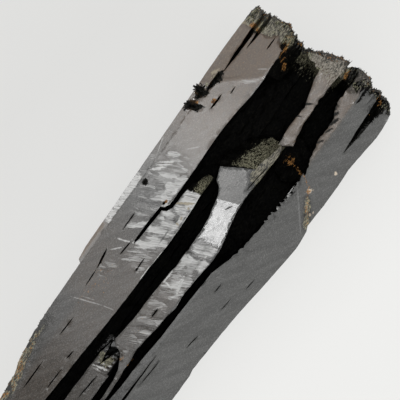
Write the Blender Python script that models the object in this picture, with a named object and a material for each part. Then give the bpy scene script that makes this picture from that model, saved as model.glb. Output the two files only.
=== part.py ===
"""Aegirine crystal: a parallel-grown, deeply grooved group of prisms, lying on its back face.

X runs along the crystal's long c axis towards the etched termination, and Z is up, away from
the face it rests on. The origin is the middle of the bounding box's bottom.

Each individual of the group is drawn as its outline seen from the front, raised to a prism and
cut by the planes of its own crystal faces. The individuals are then joined into the one solid
that they grew as, its sheltered and broken surfaces are roughened, and cracks are cut into it.
"""

import math

import bmesh
import bpy
from mathutils import Matrix, Vector, noise

MM = 0.001                 # lengths below are in millimetres, and the scene is in metres
SEED = 11

PRISM_ANGLE = 43.4         # degrees between the (100) front face and a (110) prism face
LEFT_SIDE_Y = 17.9         # widest reach of the left side face, and of the right one mirrored
LEFT_FOOT_Y = 11.0         # where the left back (110) face would meet the resting plane
RIGHT_FOOT_Y = -10.6       # and the right one
ROOF_Z = 30.0              # outlines are raised to here, above every front face
ROUNDED_TO = 4             # corners are rounded to this many decimals of a millimetre
SMALLEST_EDGE = 0.003      # shorter edges are closed up
ROOT_Z = 6.0               # inner individuals start here, well inside the core

# Heights of the (100) front faces above the resting face.
LEFT_FRONT_Z = 25.0
LEFT_EDGE_Z = 24.86
TONGUE_FRONT_Z = 24.94
MIDDLE_FRONT_Z = 24.2
MIDDLE_STEP_Z = 23.2
MIDDLE_END = (27.2, 3.7)       # (x, y) where the middle ridge's end slope starts
MIDDLE_END_FALL = (0.857, 0.514)     # and the way it falls
SMALL_FRONT_Z = 23.3
UPPER_MIDDLE_FRONT_Z = 23.8
RIGHT_FRONT_Z = 22.0
RIDGE_CAP_Z = 25.3
CORE_Z = 13.0              # floor of the right groove
LEFT_FLOOR_Z = 14.4        # floor of the left groove
SHOULDER_Z = 24.6
RUBBLE_Z = 18.6

LEFT_BEVEL_Y = 15.8        # crease between the left prism's front face and its narrow bevel
RIGHT_CREASE_Y = -9.6      # crease between the upper right prism's front face and its side
LOWER_RIGHT_RISE = 0.6     # the lower right prism stands this far over the upper one
LEFT_BACK_Z = 1.1          # back faces step in from the resting face
RIGHT_BACK_Z = 1.7

# Outlines seen from the front, as (x, y) corners in order round each individual.
CORE = [
    (-57.8, 10.2), (-30.0, 9.8), (-4.0, 10.4), (28.0, 10.1), (56.2, 10.4), (56.2, 7.7),
    (55.6, 6.7), (56.0, 5.3), (56.8, 3.7), (57.2, 1.7), (57.8, -4.0), (58.2, -8.0),
    (56.8, -10.2), (20.0, -9.9), (-8.0, -9.4), (-34.0, -9.9), (-56.8, -9.6),
]
LEFT_FLOOR = [(-57.2, 9.0), (55.8, 9.0), (55.4, 6.7), (56.4, 2.0), (-57.2, 2.0)]
LEFT_PRISM = [
    (-58.8, 12.1), (-44.2, 12.5), (-36.2, 12.8), (-31.2, 13.3), (-27.8, 14.3), (-22.6, 15.1),
    (-17.2, 15.5), (-10.2, 15.7), (-5.4, 15.8), (-5.0, 16.5), (-2.2, 16.9), (7.8, 17.1),
    (17.8, 17.3), (27.8, 17.5), (39.8, 17.8), (47.8, 17.9), (54.8, 17.8), (56.6, 17.3),
    (56.6, 15.3), (57.0, 13.3), (57.4, 11.3), (57.6, 9.9), (57.0, 8.7), (56.2, 7.9),
    (55.0, 8.7), (52.6, 8.4), (49.8, 7.8), (45.8, 7.6), (41.4, 7.8), (38.2, 8.2),
    (33.8, 8.5), (28.8, 8.5), (23.8, 8.3), (14.6, 8.2), (13.6, 8.7), (13.2, 9.5),
    (8.8, 9.7), (4.8, 9.7), (2.0, 8.6), (-58.8, 8.4),
]
LEFT_EDGE = [
    (29.6, 15.2), (32.4, 17.2), (39.8, 17.8), (47.8, 17.9), (54.8, 17.8), (56.6, 17.3),
    (56.6, 14.2), (44.0, 14.4),
]
LEFT_TONGUE = [
    (-59.4, 9.6), (0.0, 9.8), (2.0, 9.8), (5.2, 9.1), (9.4, 8.9), (12.6, 8.8), (13.1, 7.9),
    (14.4, 7.3), (17.8, 7.2), (20.2, 6.9), (22.6, 6.1), (24.0, 5.3), (24.1, 4.3),
    (19.8, 4.3), (16.6, 4.0), (11.8, 3.8), (6.8, 3.8), (1.8, 4.1), (-3.2, 4.1),
    (-9.2, 4.3), (-13.2, 4.5), (-20.2, 4.9), (-25.2, 5.1), (-31.2, 5.4), (-40.2, 5.7),
    (-59.4, 6.1),
]
SHOULDER = [
    (56.4, 9.1), (55.8, 7.3), (56.2, 5.3), (53.4, 4.1), (50.2, 4.3), (47.8, 5.3),
    (47.0, 7.3), (47.8, 8.9),
]
MIDDLE_RIDGE = [
    (-57.4, -3.5), (-57.4, -4.3), (-24.6, -4.2), (-20.2, -4.1), (-16.6, -3.9), (-12.8, -3.5),
    (-9.8, -3.8), (-6.8, -4.3), (-3.6, -4.5), (-1.6, -5.0), (1.0, -4.6), (4.6, -4.8),
    (9.4, -5.3), (12.4, -5.3), (14.8, -4.9), (17.4, -4.3), (19.6, -3.8), (21.8, -3.4),
    (24.8, -3.3), (28.8, -3.4), (33.4, -3.6), (37.8, -3.7), (38.2, -1.3), (37.2, 1.1),
    (35.0, 2.9), (31.8, 4.1), (29.0, 5.1), (26.2, 4.3), (24.0, 3.5), (23.2, 2.3),
    (21.8, 1.5), (19.8, 1.0), (17.0, 0.3), (14.2, 0.0), (9.8, -0.1), (5.2, -0.1),
    (1.8, 0.3), (-2.2, 0.5), (-7.2, 0.6), (-11.8, 1.0), (-13.8, 1.2), (-14.6, 0.3),
    (-15.2, -1.1), (-16.2, -1.9), (-18.0, -2.7), (-20.4, -3.3), (-24.6, -3.5),
]
SMALL_CRYSTAL = [
    (-57.0, 2.3), (-28.8, 2.3), (-24.6, 2.2), (-20.2, 2.1), (-17.2, 2.0), (-14.8, 1.5),
    (-16.2, 1.1), (-20.0, 0.8), (-17.0, -0.1), (-15.4, -0.7), (-16.2, -1.4), (-18.2, -1.9),
    (-20.4, -2.1), (-24.6, -2.0), (-57.0, -1.9),
]
MIDDLE_RIB = [(27.0, -3.4), (33.4, -3.6), (37.8, -3.7), (37.7, -2.7), (33.6, -2.3), (30.2, -1.4)]
UPPER_MIDDLE_RIDGE = [
    (57.8, -0.5), (58.6, -2.3), (58.7, -4.1), (53.8, -3.9), (50.2, -3.7), (46.2, -3.9),
    (43.4, -4.0), (40.2, -4.5), (38.6, -5.0), (37.9, -3.9), (37.2, -2.3), (38.8, -2.1),
    (41.2, -1.9), (43.4, -2.0), (46.2, -2.2), (48.4, -1.5), (49.8, -1.1), (51.8, -0.5),
    (53.8, -0.2), (54.8, 1.3), (55.0, 3.1), (56.0, 3.7), (57.0, 1.7),
]
GROOVE_RUBBLE = [
    (39.8, -3.5), (41.0, -6.3), (39.0, -9.9), (36.2, -10.4), (33.8, -10.6), (31.8, -7.3),
    (32.8, -5.3), (34.8, -3.2),
]
UPPER_RIGHT_PRISM = [
    (59.0, -7.1), (58.6, -9.5), (58.2, -10.7), (57.6, -11.1), (57.8, -12.7), (57.6, -14.7),
    (57.1, -16.3), (55.6, -17.2), (53.2, -17.8), (50.2, -17.9), (47.4, -17.6), (44.2, -17.3),
    (41.6, -17.1), (37.8, -17.3), (32.8, -17.3), (28.8, -17.1), (10.0, -16.2), (0.0, -15.0),
    (0.0, -10.5), (28.0, -10.5), (35.6, -10.4), (37.8, -9.5), (39.4, -9.1), (41.4, -8.7),
    (43.4, -8.3), (45.8, -8.4), (47.8, -8.3), (49.0, -7.7), (50.2, -7.2), (52.2, -7.0),
    (55.8, -7.2),
]
LOWER_RIGHT_PRISM = [
    (35.4, -9.7), (34.6, -11.1), (33.4, -12.3), (31.8, -13.9), (30.0, -15.3), (28.4, -16.5),
    (26.4, -17.5), (24.2, -17.8), (22.2, -17.9), (18.8, -17.6), (14.8, -17.2), (10.8, -16.8),
    (6.8, -16.3), (2.8, -15.9), (-2.2, -15.6), (-7.8, -15.3), (-9.8, -15.2), (-11.4, -15.5),
    (-15.2, -15.5), (-24.2, -15.4), (-38.2, -15.1), (-59.2, -14.9), (-59.1, -4.9),
    (-24.6, -4.9), (-20.2, -5.3), (-15.2, -5.4), (-11.2, -5.7), (-7.2, -6.0),
    (-2.2, -6.1), (2.2, -6.3), (5.8, -6.5), (8.4, -6.6), (10.4, -7.2), (12.6, -7.9),
    (14.6, -8.4), (16.8, -8.8), (19.8, -9.1), (22.8, -9.4), (26.2, -9.8), (28.8, -10.1),
    (31.4, -10.3), (33.4, -10.1),
]

# Cracks that run along c in the front faces: (x, y) where one starts, (x, y) where it ends, and
# its width. One that starts beyond an end of the crystal is widest there and open.
FRONT_CRACKS = [
    ((61.0, 15.25), (40.6, 15.1), 1.15),
    ((61.0, 13.85), (47.9, 14.1), 1.05),
    ((42.8, 15.4), (36.6, 15.6), 1.0),
    ((54.4, 10.7), (50.4, 10.7), 0.3),
    ((41.4, 11.4), (39.4, 11.4), 0.28),
    ((38.8, 12.7), (34.4, 12.8), 0.5),
    ((9.8, 12.9), (4.4, 12.8), 0.26),
    ((4.6, 10.1), (0.3, 10.4), 0.3),
    ((3.4, 6.0), (-0.2, 5.9), 0.28),
    ((0.6, 13.2), (-4.6, 12.4), 0.45),
    ((-4.0, 12.5), (-9.0, 12.2), 0.26),
    ((-14.2, 10.5), (-20.2, 10.7), 0.26),
    ((-20.0, 6.5), (-22.8, 6.8), 0.3),
    ((-24.6, 10.3), (-33.4, 10.3), 0.3),
    ((-24.0, 6.3), (-30.2, 6.5), 0.28),
    ((-37.0, 7.9), (-46.0, 8.1), 0.35),
    ((-42.0, 10.9), (-50.5, 10.6), 0.35),
    ((32.8, -3.3), (25.4, -2.5), 0.28),
    ((-3.4, -2.1), (-6.0, -2.1), 0.3),
    ((-21.2, -0.2), (-28.0, 0.4), 0.28),
    ((-34.0, 0.6), (-45.0, 0.4), 0.35),
]
SLOPE_CRACKS = [
    ((61.5, -14.4), (43.2, -14.1), 2.8),
    ((12.6, -14.6), (9.2, -14.3), 0.3),
    ((7.8, -9.6), (5.4, -9.4), 0.26),
    ((6.8, -13.0), (2.8, -12.6), 0.26),
    ((-3.0, -12.0), (-7.4, -11.4), 0.32),
    ((-62.0, -6.6), (-9.0, -7.4), 1.5),
    ((-11.4, -8.6), (-18.8, -8.2), 0.3),
    ((-30.0, -10.6), (-38.5, -10.2), 0.35),
    ((-41.0, -13.0), (-51.0, -12.6), 0.35),
]
# Furrows of the hidden faces: x where one starts, x where it ends, its place across, its width.
LEFT_SIDE_FURROWS = [
    (61.0, 22.0, 18.6, 1.7), (30.0, 2.0, 12.2, 1.0), (12.0, -14.0, 20.2, 0.7),
    (-62.0, -12.0, 15.6, 1.9), (50.0, 38.0, 9.6, 0.8), (-30.0, -48.0, 10.0, 0.7),
]
RIGHT_SIDE_FURROWS = [
    (61.0, 33.0, 9.9, 1.5), (24.0, 4.0, 10.6, 0.8), (-6.0, -32.0, 8.2, 1.1),
    (-62.0, -24.0, 11.6, 1.6),
]
BACK_FURROWS = [
    (61.0, 14.0, -3.4, 1.8), (-62.0, -8.0, 4.6, 2.1), (30.0, 8.0, 6.0, 0.9),
    (-26.0, -44.0, -5.2, 1.0),
]
# Ledges where a growth layer of a side face stops short: (x, z) corners of the missing layer,
# and how far in from the widest reach of the side its new face lies.
LEFT_LEDGES = [
    ([(-12.0, 2.4), (62.0, 2.4), (62.0, 8.2), (24.0, 7.4), (2.0, 4.9)], 1.7),
    ([(8.0, 14.9), (30.0, 14.2), (49.0, 14.4), (41.0, 16.2), (26.0, 16.9)], 1.0),
]
RIGHT_LEDGES = [
    ([(1.0, 4.0), (29.0, 3.5), (33.0, 4.4), (22.0, 7.5), (14.0, 7.9)], 1.3),
    ([(36.0, 12.4), (62.0, 12.0), (62.0, 14.0), (45.0, 13.7)], 0.9),
]
# Etch pits of the left prism's front face: (x, y) of the middle, length, width.
PITS = [
    ((15.3, 14.8), 1.6, 1.1), ((36.3, 16.5), 3.2, 2.2), ((33.3, 16.2), 2.6, 2.4),
    ((14.2, 9.3), 1.3, 0.7), ((0.2, 5.9), 1.0, 0.6),
]
CRACK_LIFT = 0.5           # a cutter reaches this far above the face it cuts
CRACK_DEPTH = 0.6          # depth of the finest crack
DEEPENING = 1.5            # and what each millimetre of width adds to it

# Where the surface is etched or broken instead of flat, and how far it strays from its planes.
ETCHED_TIP_X = 52.6
BROKEN_BASE_X = -55.2
TIP_X = 59.0
GROOVE_RIGHT_Y = -10.5
GROOVE_LEFT_Y = 9.9
GROOVE_TOP_Z = 21.2        # groove walls are straight above this
FOOT_CLEAR_Z = 2.5         # and the foot is left flat below this
WALL_STRAY = 0.6
TIP_STRAY = 0.65
TIP_NEEDLES = 1.2          # stray along c of the etched termination
BASE_STRAY = 0.8
WALL_CELL = 2.75           # size of the uneven facets
TIP_CELL = 1.9
BASE_CELL = 2.6


def sloped_plane(through, falls_towards, degrees):
    """(point, normal) of a plane through a point that falls in one direction of the XY plane."""
    run = Vector((*falls_towards, 0.0)).normalized()
    slope = math.radians(degrees)
    return Vector(through), run * math.sin(slope) + Vector((0, 0, math.cos(slope)))


def level_plane(z):
    return Vector((0, 0, z)), Vector((0, 0, 1))


def back_plane(foot_y, side):
    """The back (110) face that rises outwards from foot_y; side is 1 for left, -1 for right."""
    slope = math.radians(PRISM_ANGLE)
    return Vector((0, foot_y, 0)), Vector((0, side * math.sin(slope), -math.cos(slope)))


def right_slope(rise):
    """The wide (110) face of the right prisms, raised by rise."""
    return sloped_plane((0, RIGHT_CREASE_Y, RIGHT_FRONT_Z + rise), (0, -1), PRISM_ANGLE)


def cut_away(bm, plane):
    """Removes what is outside a crystal face's plane, and closes the cut with that face."""
    point, normal = plane
    everything = bm.verts[:] + bm.edges[:] + bm.faces[:]
    cut = bmesh.ops.bisect_plane(
        bm, geom=everything, dist=1e-5, plane_co=point, plane_no=normal, clear_outer=True
    )
    rim = [e for e in cut["geom_cut"] if isinstance(e, bmesh.types.BMEdge)]
    if rim:
        bmesh.ops.contextual_create(bm, geom=rim)


def in_order(name, bm):
    """A mesh of bm with its corners rounded off and everything in one fixed order.

    Blender's own order changes from run to run, and the Booleans would follow it.
    """
    places = [tuple(round(c, ROUNDED_TO) for c in vert.co) for vert in bm.verts]
    order = sorted(range(len(places)), key=places.__getitem__)
    number = {old: new for new, old in enumerate(order)}
    faces = []
    for face in bm.faces:
        loop = [number[vert.index] for vert in face.verts]
        first = loop.index(min(loop))
        faces.append(loop[first:] + loop[:first])
    mesh = bpy.data.meshes.new(name)
    mesh.from_pydata([places[i] for i in order], [], sorted(faces))
    bm.free()
    return mesh


def new_object(name, bm):
    bmesh.ops.recalc_face_normals(bm, faces=bm.faces)
    bm.verts.index_update()
    obj = bpy.data.objects.new(name, in_order(name, bm))
    bpy.context.collection.objects.link(obj)
    return obj


def individual(name, outline, foot_z, planes):
    """One crystal of the group: its outline raised to a prism and cut by its crystal faces."""
    bm = bmesh.new()
    foot = bm.faces.new([bm.verts.new((x, y, foot_z)) for x, y in outline])
    raised = bmesh.ops.extrude_face_region(bm, geom=[foot])
    top = [v for v in raised["geom"] if isinstance(v, bmesh.types.BMVert)]
    bmesh.ops.translate(bm, verts=top, vec=(0, 0, ROOF_Z - foot_z))
    bmesh.ops.recalc_face_normals(bm, faces=bm.faces)
    for plane in planes:
        cut_away(bm, plane)
    return new_object(name, bm)


def outer_individuals():
    left_back = back_plane(LEFT_FOOT_Y, 1)
    right_back = back_plane(RIGHT_FOOT_Y, -1)
    bevel = sloped_plane((0, LEFT_BEVEL_Y, LEFT_FRONT_Z), (0, 1), PRISM_ANGLE)
    return [
        individual("left_prism", LEFT_PRISM, LEFT_BACK_Z,
                   [level_plane(LEFT_FRONT_Z), bevel, left_back]),
        individual("left_edge", LEFT_EDGE, ROOT_Z, [level_plane(LEFT_EDGE_Z)]),
        individual("upper_right_prism", UPPER_RIGHT_PRISM, RIGHT_BACK_Z,
                   [level_plane(RIGHT_FRONT_Z), right_slope(0), right_back]),
        individual("lower_right_prism", LOWER_RIGHT_PRISM, RIGHT_BACK_Z + 0.25,
                   [level_plane(RIDGE_CAP_Z), right_slope(LOWER_RIGHT_RISE), right_back]),
    ]


def inner_individuals():
    tongue_end = sloped_plane((19.2, 6.0, TONGUE_FRONT_Z), (1, 0.25), 45)
    middle_dip = sloped_plane((10.2, -2.2, MIDDLE_FRONT_Z), (0.934, 0.356), 5)
    middle_end = sloped_plane((*MIDDLE_END, MIDDLE_STEP_Z), MIDDLE_END_FALL, 46)
    small_end = sloped_plane((-20.4, 0, SMALL_FRONT_Z), (1, 0), 24)
    upper_end = sloped_plane((53.4, 0, UPPER_MIDDLE_FRONT_Z), (1, 0.6), 30)
    shoulder_fall = sloped_plane((52, 8.4, SHOULDER_Z), (0, -1), 50)
    rubble_fall = sloped_plane((38, -6, RUBBLE_Z), (-1, -0.2), 25)
    return [
        individual("left_floor", LEFT_FLOOR, ROOT_Z, [level_plane(LEFT_FLOOR_Z)]),
        individual("left_tongue", LEFT_TONGUE, ROOT_Z, [level_plane(TONGUE_FRONT_Z), tongue_end]),
        individual("shoulder", SHOULDER, ROOT_Z, [shoulder_fall]),
        individual("middle_ridge", MIDDLE_RIDGE, ROOT_Z,
                   [level_plane(MIDDLE_FRONT_Z), middle_dip, middle_end]),
        individual("middle_step", MIDDLE_RIDGE, ROOT_Z, [level_plane(MIDDLE_STEP_Z), middle_end]),
        individual("middle_rib", MIDDLE_RIB, ROOT_Z, [level_plane(MIDDLE_STEP_Z - 0.02)]),
        individual("small_crystal", SMALL_CRYSTAL, ROOT_Z, [level_plane(SMALL_FRONT_Z), small_end]),
        individual("upper_middle_ridge", UPPER_MIDDLE_RIDGE, ROOT_Z,
                   [level_plane(UPPER_MIDDLE_FRONT_Z), upper_end]),
        individual("groove_rubble", GROOVE_RUBBLE, ROOT_Z, [rubble_fall]),
    ]


def boolean(obj, operation, others):
    """The mesh of obj joined with, or cut by, each of the others, which are then removed."""
    for other in others:
        modifier = obj.modifiers.new(other.name, "BOOLEAN")
        modifier.operation = operation
        modifier.solver = "EXACT"
        modifier.object = other
    bpy.context.view_layer.update()
    graph = bpy.context.evaluated_depsgraph_get()
    made = bpy.data.meshes.new_from_object(obj.evaluated_get(graph))
    obj.modifiers.clear()
    bm = bmesh.new()
    bm.from_mesh(made)
    bmesh.ops.dissolve_degenerate(bm, dist=SMALLEST_EDGE, edges=bm.edges)
    bm.verts.index_update()
    obj.data = in_order(obj.name, bm)
    for other in others:
        bpy.data.objects.remove(other)


def slice_faces(bm, faces, axis, start, stop, step):
    """Cuts the given faces by parallel planes along an axis, and returns all their pieces."""
    normal = Vector((0, 0, 0))
    normal[axis] = 1
    place = start
    while place < stop:
        edges = {e for f in faces for e in f.edges}
        verts = {v for f in faces for v in f.verts}
        cut = bmesh.ops.bisect_plane(
            bm, geom=[*faces, *edges, *verts], dist=1e-4,
            plane_co=normal * place, plane_no=normal,
        )
        faces = {g for g in cut["geom"] if isinstance(g, bmesh.types.BMFace)}
        place += step
    return faces


def is_sheltered(face):
    """True for the walls and floors of the grooves between the individuals."""
    centre, normal = face.calc_center_median(), face.normal
    between = GROOVE_RIGHT_Y < centre.y < GROOVE_LEFT_Y and centre.z > CORE_Z - 1
    front = normal.z > 0.9 and centre.z > GROOVE_TOP_Z
    slope = normal.z > 0.6 and normal.y < -0.6 and centre.y < -5
    return between and not (front or slope)


def ramp(value, start, end):
    """0 at start and before it, 1 at end and after it, smooth between the two."""
    part = min(max((value - start) / (end - start), 0), 1)
    return part * part * (3 - 2 * part)


def noise_vector(p):
    """Three smooth noises, one for each direction, between about -1 and 1."""
    return Vector([noise.noise(p + Vector((3.1, 7.7, SEED)) * turn) for turn in (1, 2, 3)])


def stray(p):
    """How far a point of the etched and broken surfaces is moved from its ideal place.

    It is a smooth function of place alone, gentle enough never to fold the surface.
    """
    tip = ramp(p.x, ETCHED_TIP_X, ETCHED_TIP_X + 2.5)
    base = ramp(-p.x, -BROKEN_BASE_X, -BROKEN_BASE_X + 2)
    across = ramp(p.y, GROOVE_RIGHT_Y, GROOVE_RIGHT_Y + 1) * ramp(-p.y, -GROOVE_LEFT_Y, -8)
    groove = across * ramp(-p.z, -GROOVE_TOP_Z, 1.6 - GROOVE_TOP_Z) * ramp(p.z, 11, 12.5)
    past_crest = (p.xy - Vector(MIDDLE_END)).dot(Vector(MIDDLE_END_FALL))
    ridge_end = ramp(past_crest, 0, 2) * ramp(-p.x, -41, -39) * ramp(-p.y, -7, -6)
    ridge_end *= ramp(p.y, -5.5, -3.5)
    shoulder = ramp(p.x, 45, 48) * ramp(p.y, 3, 4.5) * ramp(-p.y, -9.6, -8)
    along_c = Vector((p.x / 5, p.y / 2.2, p.z / 2.2))
    fine = noise_vector(along_c)
    coarse = noise_vector(p / 4.2)
    needles = noise.noise(Vector((p.y / 1.5, p.z / 1.9, SEED)))
    walls = max(groove, ridge_end, shoulder) * (1 - base)
    move = fine * WALL_STRAY * walls + fine * TIP_STRAY * tip + coarse * BASE_STRAY * base
    move.x += TIP_NEEDLES * needles * tip
    return move * ramp(p.z, 0.2, FOOT_CLEAR_Z)


def broken_up(mesh):
    """The mesh with its etched and broken surfaces cut into uneven facets."""
    bm = bmesh.new()
    bm.from_mesh(mesh)
    bmesh.ops.recalc_face_normals(bm, faces=bm.faces)
    for x in (BROKEN_BASE_X, ETCHED_TIP_X):
        bmesh.ops.bisect_plane(
            bm, geom=bm.verts[:] + bm.edges[:] + bm.faces[:], dist=1e-5,
            plane_co=(x, 0, 0), plane_no=(1, 0, 0),
        )
    tip = [f for f in bm.faces if f.calc_center_median().x > ETCHED_TIP_X]
    tip = slice_faces(bm, tip, 0, ETCHED_TIP_X + TIP_CELL, TIP_X, TIP_CELL)
    tip = slice_faces(bm, tip, 1, -16.6, LEFT_SIDE_Y, TIP_CELL)
    slice_faces(bm, tip, 2, 2.4, RIDGE_CAP_Z, TIP_CELL)
    base = [f for f in bm.faces if f.calc_center_median().x < BROKEN_BASE_X]
    base = slice_faces(bm, base, 1, -12.5, LEFT_SIDE_Y, BASE_CELL)
    slice_faces(bm, base, 2, 3.0, RIDGE_CAP_Z, BASE_CELL)
    walls = [
        f for f in bm.faces
        if BROKEN_BASE_X < f.calc_center_median().x < ETCHED_TIP_X and is_sheltered(f)
    ]
    walls = slice_faces(bm, walls, 0, BROKEN_BASE_X + WALL_CELL, ETCHED_TIP_X, WALL_CELL)
    walls = slice_faces(bm, walls, 2, 14.9, RIDGE_CAP_Z, WALL_CELL)
    floors = [f for f in walls if f.normal.z > 0.5]
    slice_faces(bm, floors, 1, -9.0, 9.0, WALL_CELL)
    bm.verts.index_update()
    mesh = in_order(mesh.name, bm)
    bm = bmesh.new()
    bm.from_mesh(mesh)
    bmesh.ops.triangulate(bm, faces=bm.faces[:])
    bmesh.ops.dissolve_degenerate(bm, dist=SMALLEST_EDGE, edges=bm.edges)
    for vert in bm.verts:
        vert.co += stray(vert.co)
    bm.verts.index_update()
    return in_order(mesh.name, bm)


def cutter(name, start, end, width, out):
    """A boat-shaped cutter along a crack; out is the outward normal of the face it is in."""
    length = (end - start).length
    along = (end - start) / length
    across = along.cross(out).normalized()
    depth = CRACK_DEPTH + DEEPENING * width
    is_open = abs(start.x) > TIP_X
    shape = [(0, 0.5), (0.3, 0.5), (0.7, 0.3), (1, 0.03)] if is_open else \
        [(0, 0.05), (0.3, 0.45), (0.65, 0.5), (1, 0.05)]
    flare = 1 + CRACK_LIFT / depth
    corners = []
    for part, half in shape:
        for side in (-1, 1):
            corners.append(
                start + along * part * length + across * side * half * width * flare
                + out * CRACK_LIFT
            )
    keel = (0, 0.7) if is_open else (0.25, 0.75)
    corners += [start + along * part * length - out * depth for part in keel]
    bm = bmesh.new()
    made = [bm.verts.new(c) for c in corners]
    bmesh.ops.convex_hull(bm, input=made)
    return new_object(name, bm)


def pit(name, centre, length, width):
    """A six-sided etch pit, pointed at the bottom and longest along c."""
    bm = bmesh.new()
    depth = 0.5 * width + 0.2
    for degrees in range(0, 360, 60):
        turn = math.radians(degrees)
        reach = Vector((length / 2 * math.cos(turn), width / 2 * math.sin(turn), 0))
        bm.verts.new(centre + reach * (1 + CRACK_LIFT / depth) + Vector((0, 0, CRACK_LIFT)))
    bm.verts.new(centre - Vector((0, 0, depth)))
    bmesh.ops.convex_hull(bm, input=bm.verts[:])
    return new_object(name, bm)


def side_reach(outline, x, side):
    """How far an outline reaches out to one side at x."""
    found = 0.0
    for (x0, y0), (x1, y1) in zip(outline, outline[1:] + outline[:1]):
        if min(x0, x1) <= x <= max(x0, x1) and x0 != x1:
            found = max(found, side * (y0 + (y1 - y0) * (x - x0) / (x1 - x0)))
    return side * found


def front_height(x, y):
    """Height of the front face that a crack at (x, y) is in."""
    if y > 5.8:
        return LEFT_FRONT_Z
    if y < -1.5:
        return MIDDLE_FRONT_Z if x < 15 else MIDDLE_STEP_Z
    return SMALL_FRONT_Z


def slope_height(x, y):
    """Height of the right prisms' wide slope at a place."""
    rise = LOWER_RIGHT_RISE if x < 33 else 0
    height = RIGHT_FRONT_Z + rise + (RIGHT_CREASE_Y - y) * -math.tan(math.radians(PRISM_ANGLE))
    return min(height, RIDGE_CAP_Z)


def front_cutters():
    up = Vector((0, 0, 1))
    slope_out = right_slope(0)[1]
    cutters = []
    for i, (start, end, width) in enumerate(FRONT_CRACKS):
        z = front_height(*start)
        cutters.append(cutter(f"front_{i}", Vector((*start, z)), Vector((*end, z)), width, up))
    for i, (start, end, width) in enumerate(SLOPE_CRACKS):
        ends = [Vector((x, y, slope_height(end[0], y))) for x, y in (start, end)]
        cutters.append(cutter(f"slope_{i}", *ends, width, slope_out))
    for i, ((x, y), length, width) in enumerate(PITS):
        cutters.append(pit(f"pit_{i}", Vector((x, y, front_height(x, y))), length, width))
    return cutters


def clamped(x):
    """x, or the nearest place where the crystal's sides still have their full height."""
    return max(min(x, 57), -57)


def ledge_cutter(name, corners, side, depth):
    """What is missing from a side face: its (x, z) outline, as deep as its growth layer."""
    bm = bmesh.new()
    inner = side * (LEFT_SIDE_Y - depth)
    outer = side * (LEFT_SIDE_Y + 2)
    face = bm.faces.new([bm.verts.new((x, inner, z)) for x, z in corners])
    pulled = bmesh.ops.extrude_face_region(bm, geom=[face])
    moved = [v for v in pulled["geom"] if isinstance(v, bmesh.types.BMVert)]
    bmesh.ops.translate(bm, verts=moved, vec=(0, outer - inner, 0))
    return new_object(name, bm)


def hidden_cutters():
    cutters = [ledge_cutter(f"left_ledge_{i}", corners, 1, depth)
               for i, (corners, depth) in enumerate(LEFT_LEDGES)]
    cutters += [ledge_cutter(f"right_ledge_{i}", corners, -1, depth)
                for i, (corners, depth) in enumerate(RIGHT_LEDGES)]
    for i, (x0, x1, z, width) in enumerate(LEFT_SIDE_FURROWS):
        ends = [Vector((x, side_reach(LEFT_PRISM, clamped(x), 1), z)) for x in (x0, x1)]
        cutters.append(cutter(f"left_{i}", *ends, width, Vector((0, 1, 0))))
    for i, (x0, x1, z, width) in enumerate(RIGHT_SIDE_FURROWS):
        outline = UPPER_RIGHT_PRISM if min(x0, x1) > 30 else LOWER_RIGHT_PRISM
        ends = [Vector((x, side_reach(outline, clamped(x), -1), z)) for x in (x0, x1)]
        cutters.append(cutter(f"right_{i}", *ends, width, Vector((0, -1, 0))))
    for i, (x0, x1, y, width) in enumerate(BACK_FURROWS):
        ends = [Vector((x, y, 0)) for x in (x0, x1)]
        cutters.append(cutter(f"back_{i}", *ends, width, Vector((0, 0, -1))))
    return cutters


def centred(obj):
    """Moves the mesh so that its bounding box stands centred on the origin."""
    corners = [Vector(corner) for corner in obj.bound_box]
    low = Vector([min(c[i] for c in corners) for i in range(3)])
    high = Vector([max(c[i] for c in corners) for i in range(3)])
    middle = (low + high) / 2
    obj.data.transform(Matrix.Translation((-middle.x, -middle.y, -low.z)))


def aegirine():
    """The mineral itself: nearly black, with a glassy face."""
    material = bpy.data.materials.new("aegirine")
    material.use_nodes = True
    shader = material.node_tree.nodes["Principled BSDF"]
    shader.inputs["Base Color"].default_value = (0.022, 0.022, 0.019, 1)
    shader.inputs["Roughness"].default_value = 0.32
    shader.inputs["IOR"].default_value = 1.78
    material.diffuse_color = (0.022, 0.022, 0.019, 1)
    return material


def main():
    for obj in list(bpy.data.objects):
        bpy.data.objects.remove(obj)
    crystal = individual("aegirine_crystal", CORE, 0.0, [level_plane(CORE_Z)])
    boolean(crystal, "UNION", [*outer_individuals(), *inner_individuals()])
    crystal.data = broken_up(crystal.data)
    boolean(crystal, "DIFFERENCE", [*front_cutters(), *hidden_cutters()])
    centred(crystal)
    crystal.data.materials.clear()
    crystal.data.materials.append(aegirine())
    crystal.data.transform(Matrix.Scale(MM, 4))


main()
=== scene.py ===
# %% [markdown]
# # An aegirine crystal
# Aegirine is a black pyroxene that grows as long grooved prisms. Several individuals have grown
# here side by side along one axis, with deep grooves between them, an etched end and a broken
# end. The solid in the frame already has the main forms, so this script gives it a finer skin,
# its etched relief, its crusts and its finish.

# %% Load the frame
import math

import bmesh
import bpy
import numpy as np
from mathutils import Euler, Matrix, Vector, noise


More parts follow.
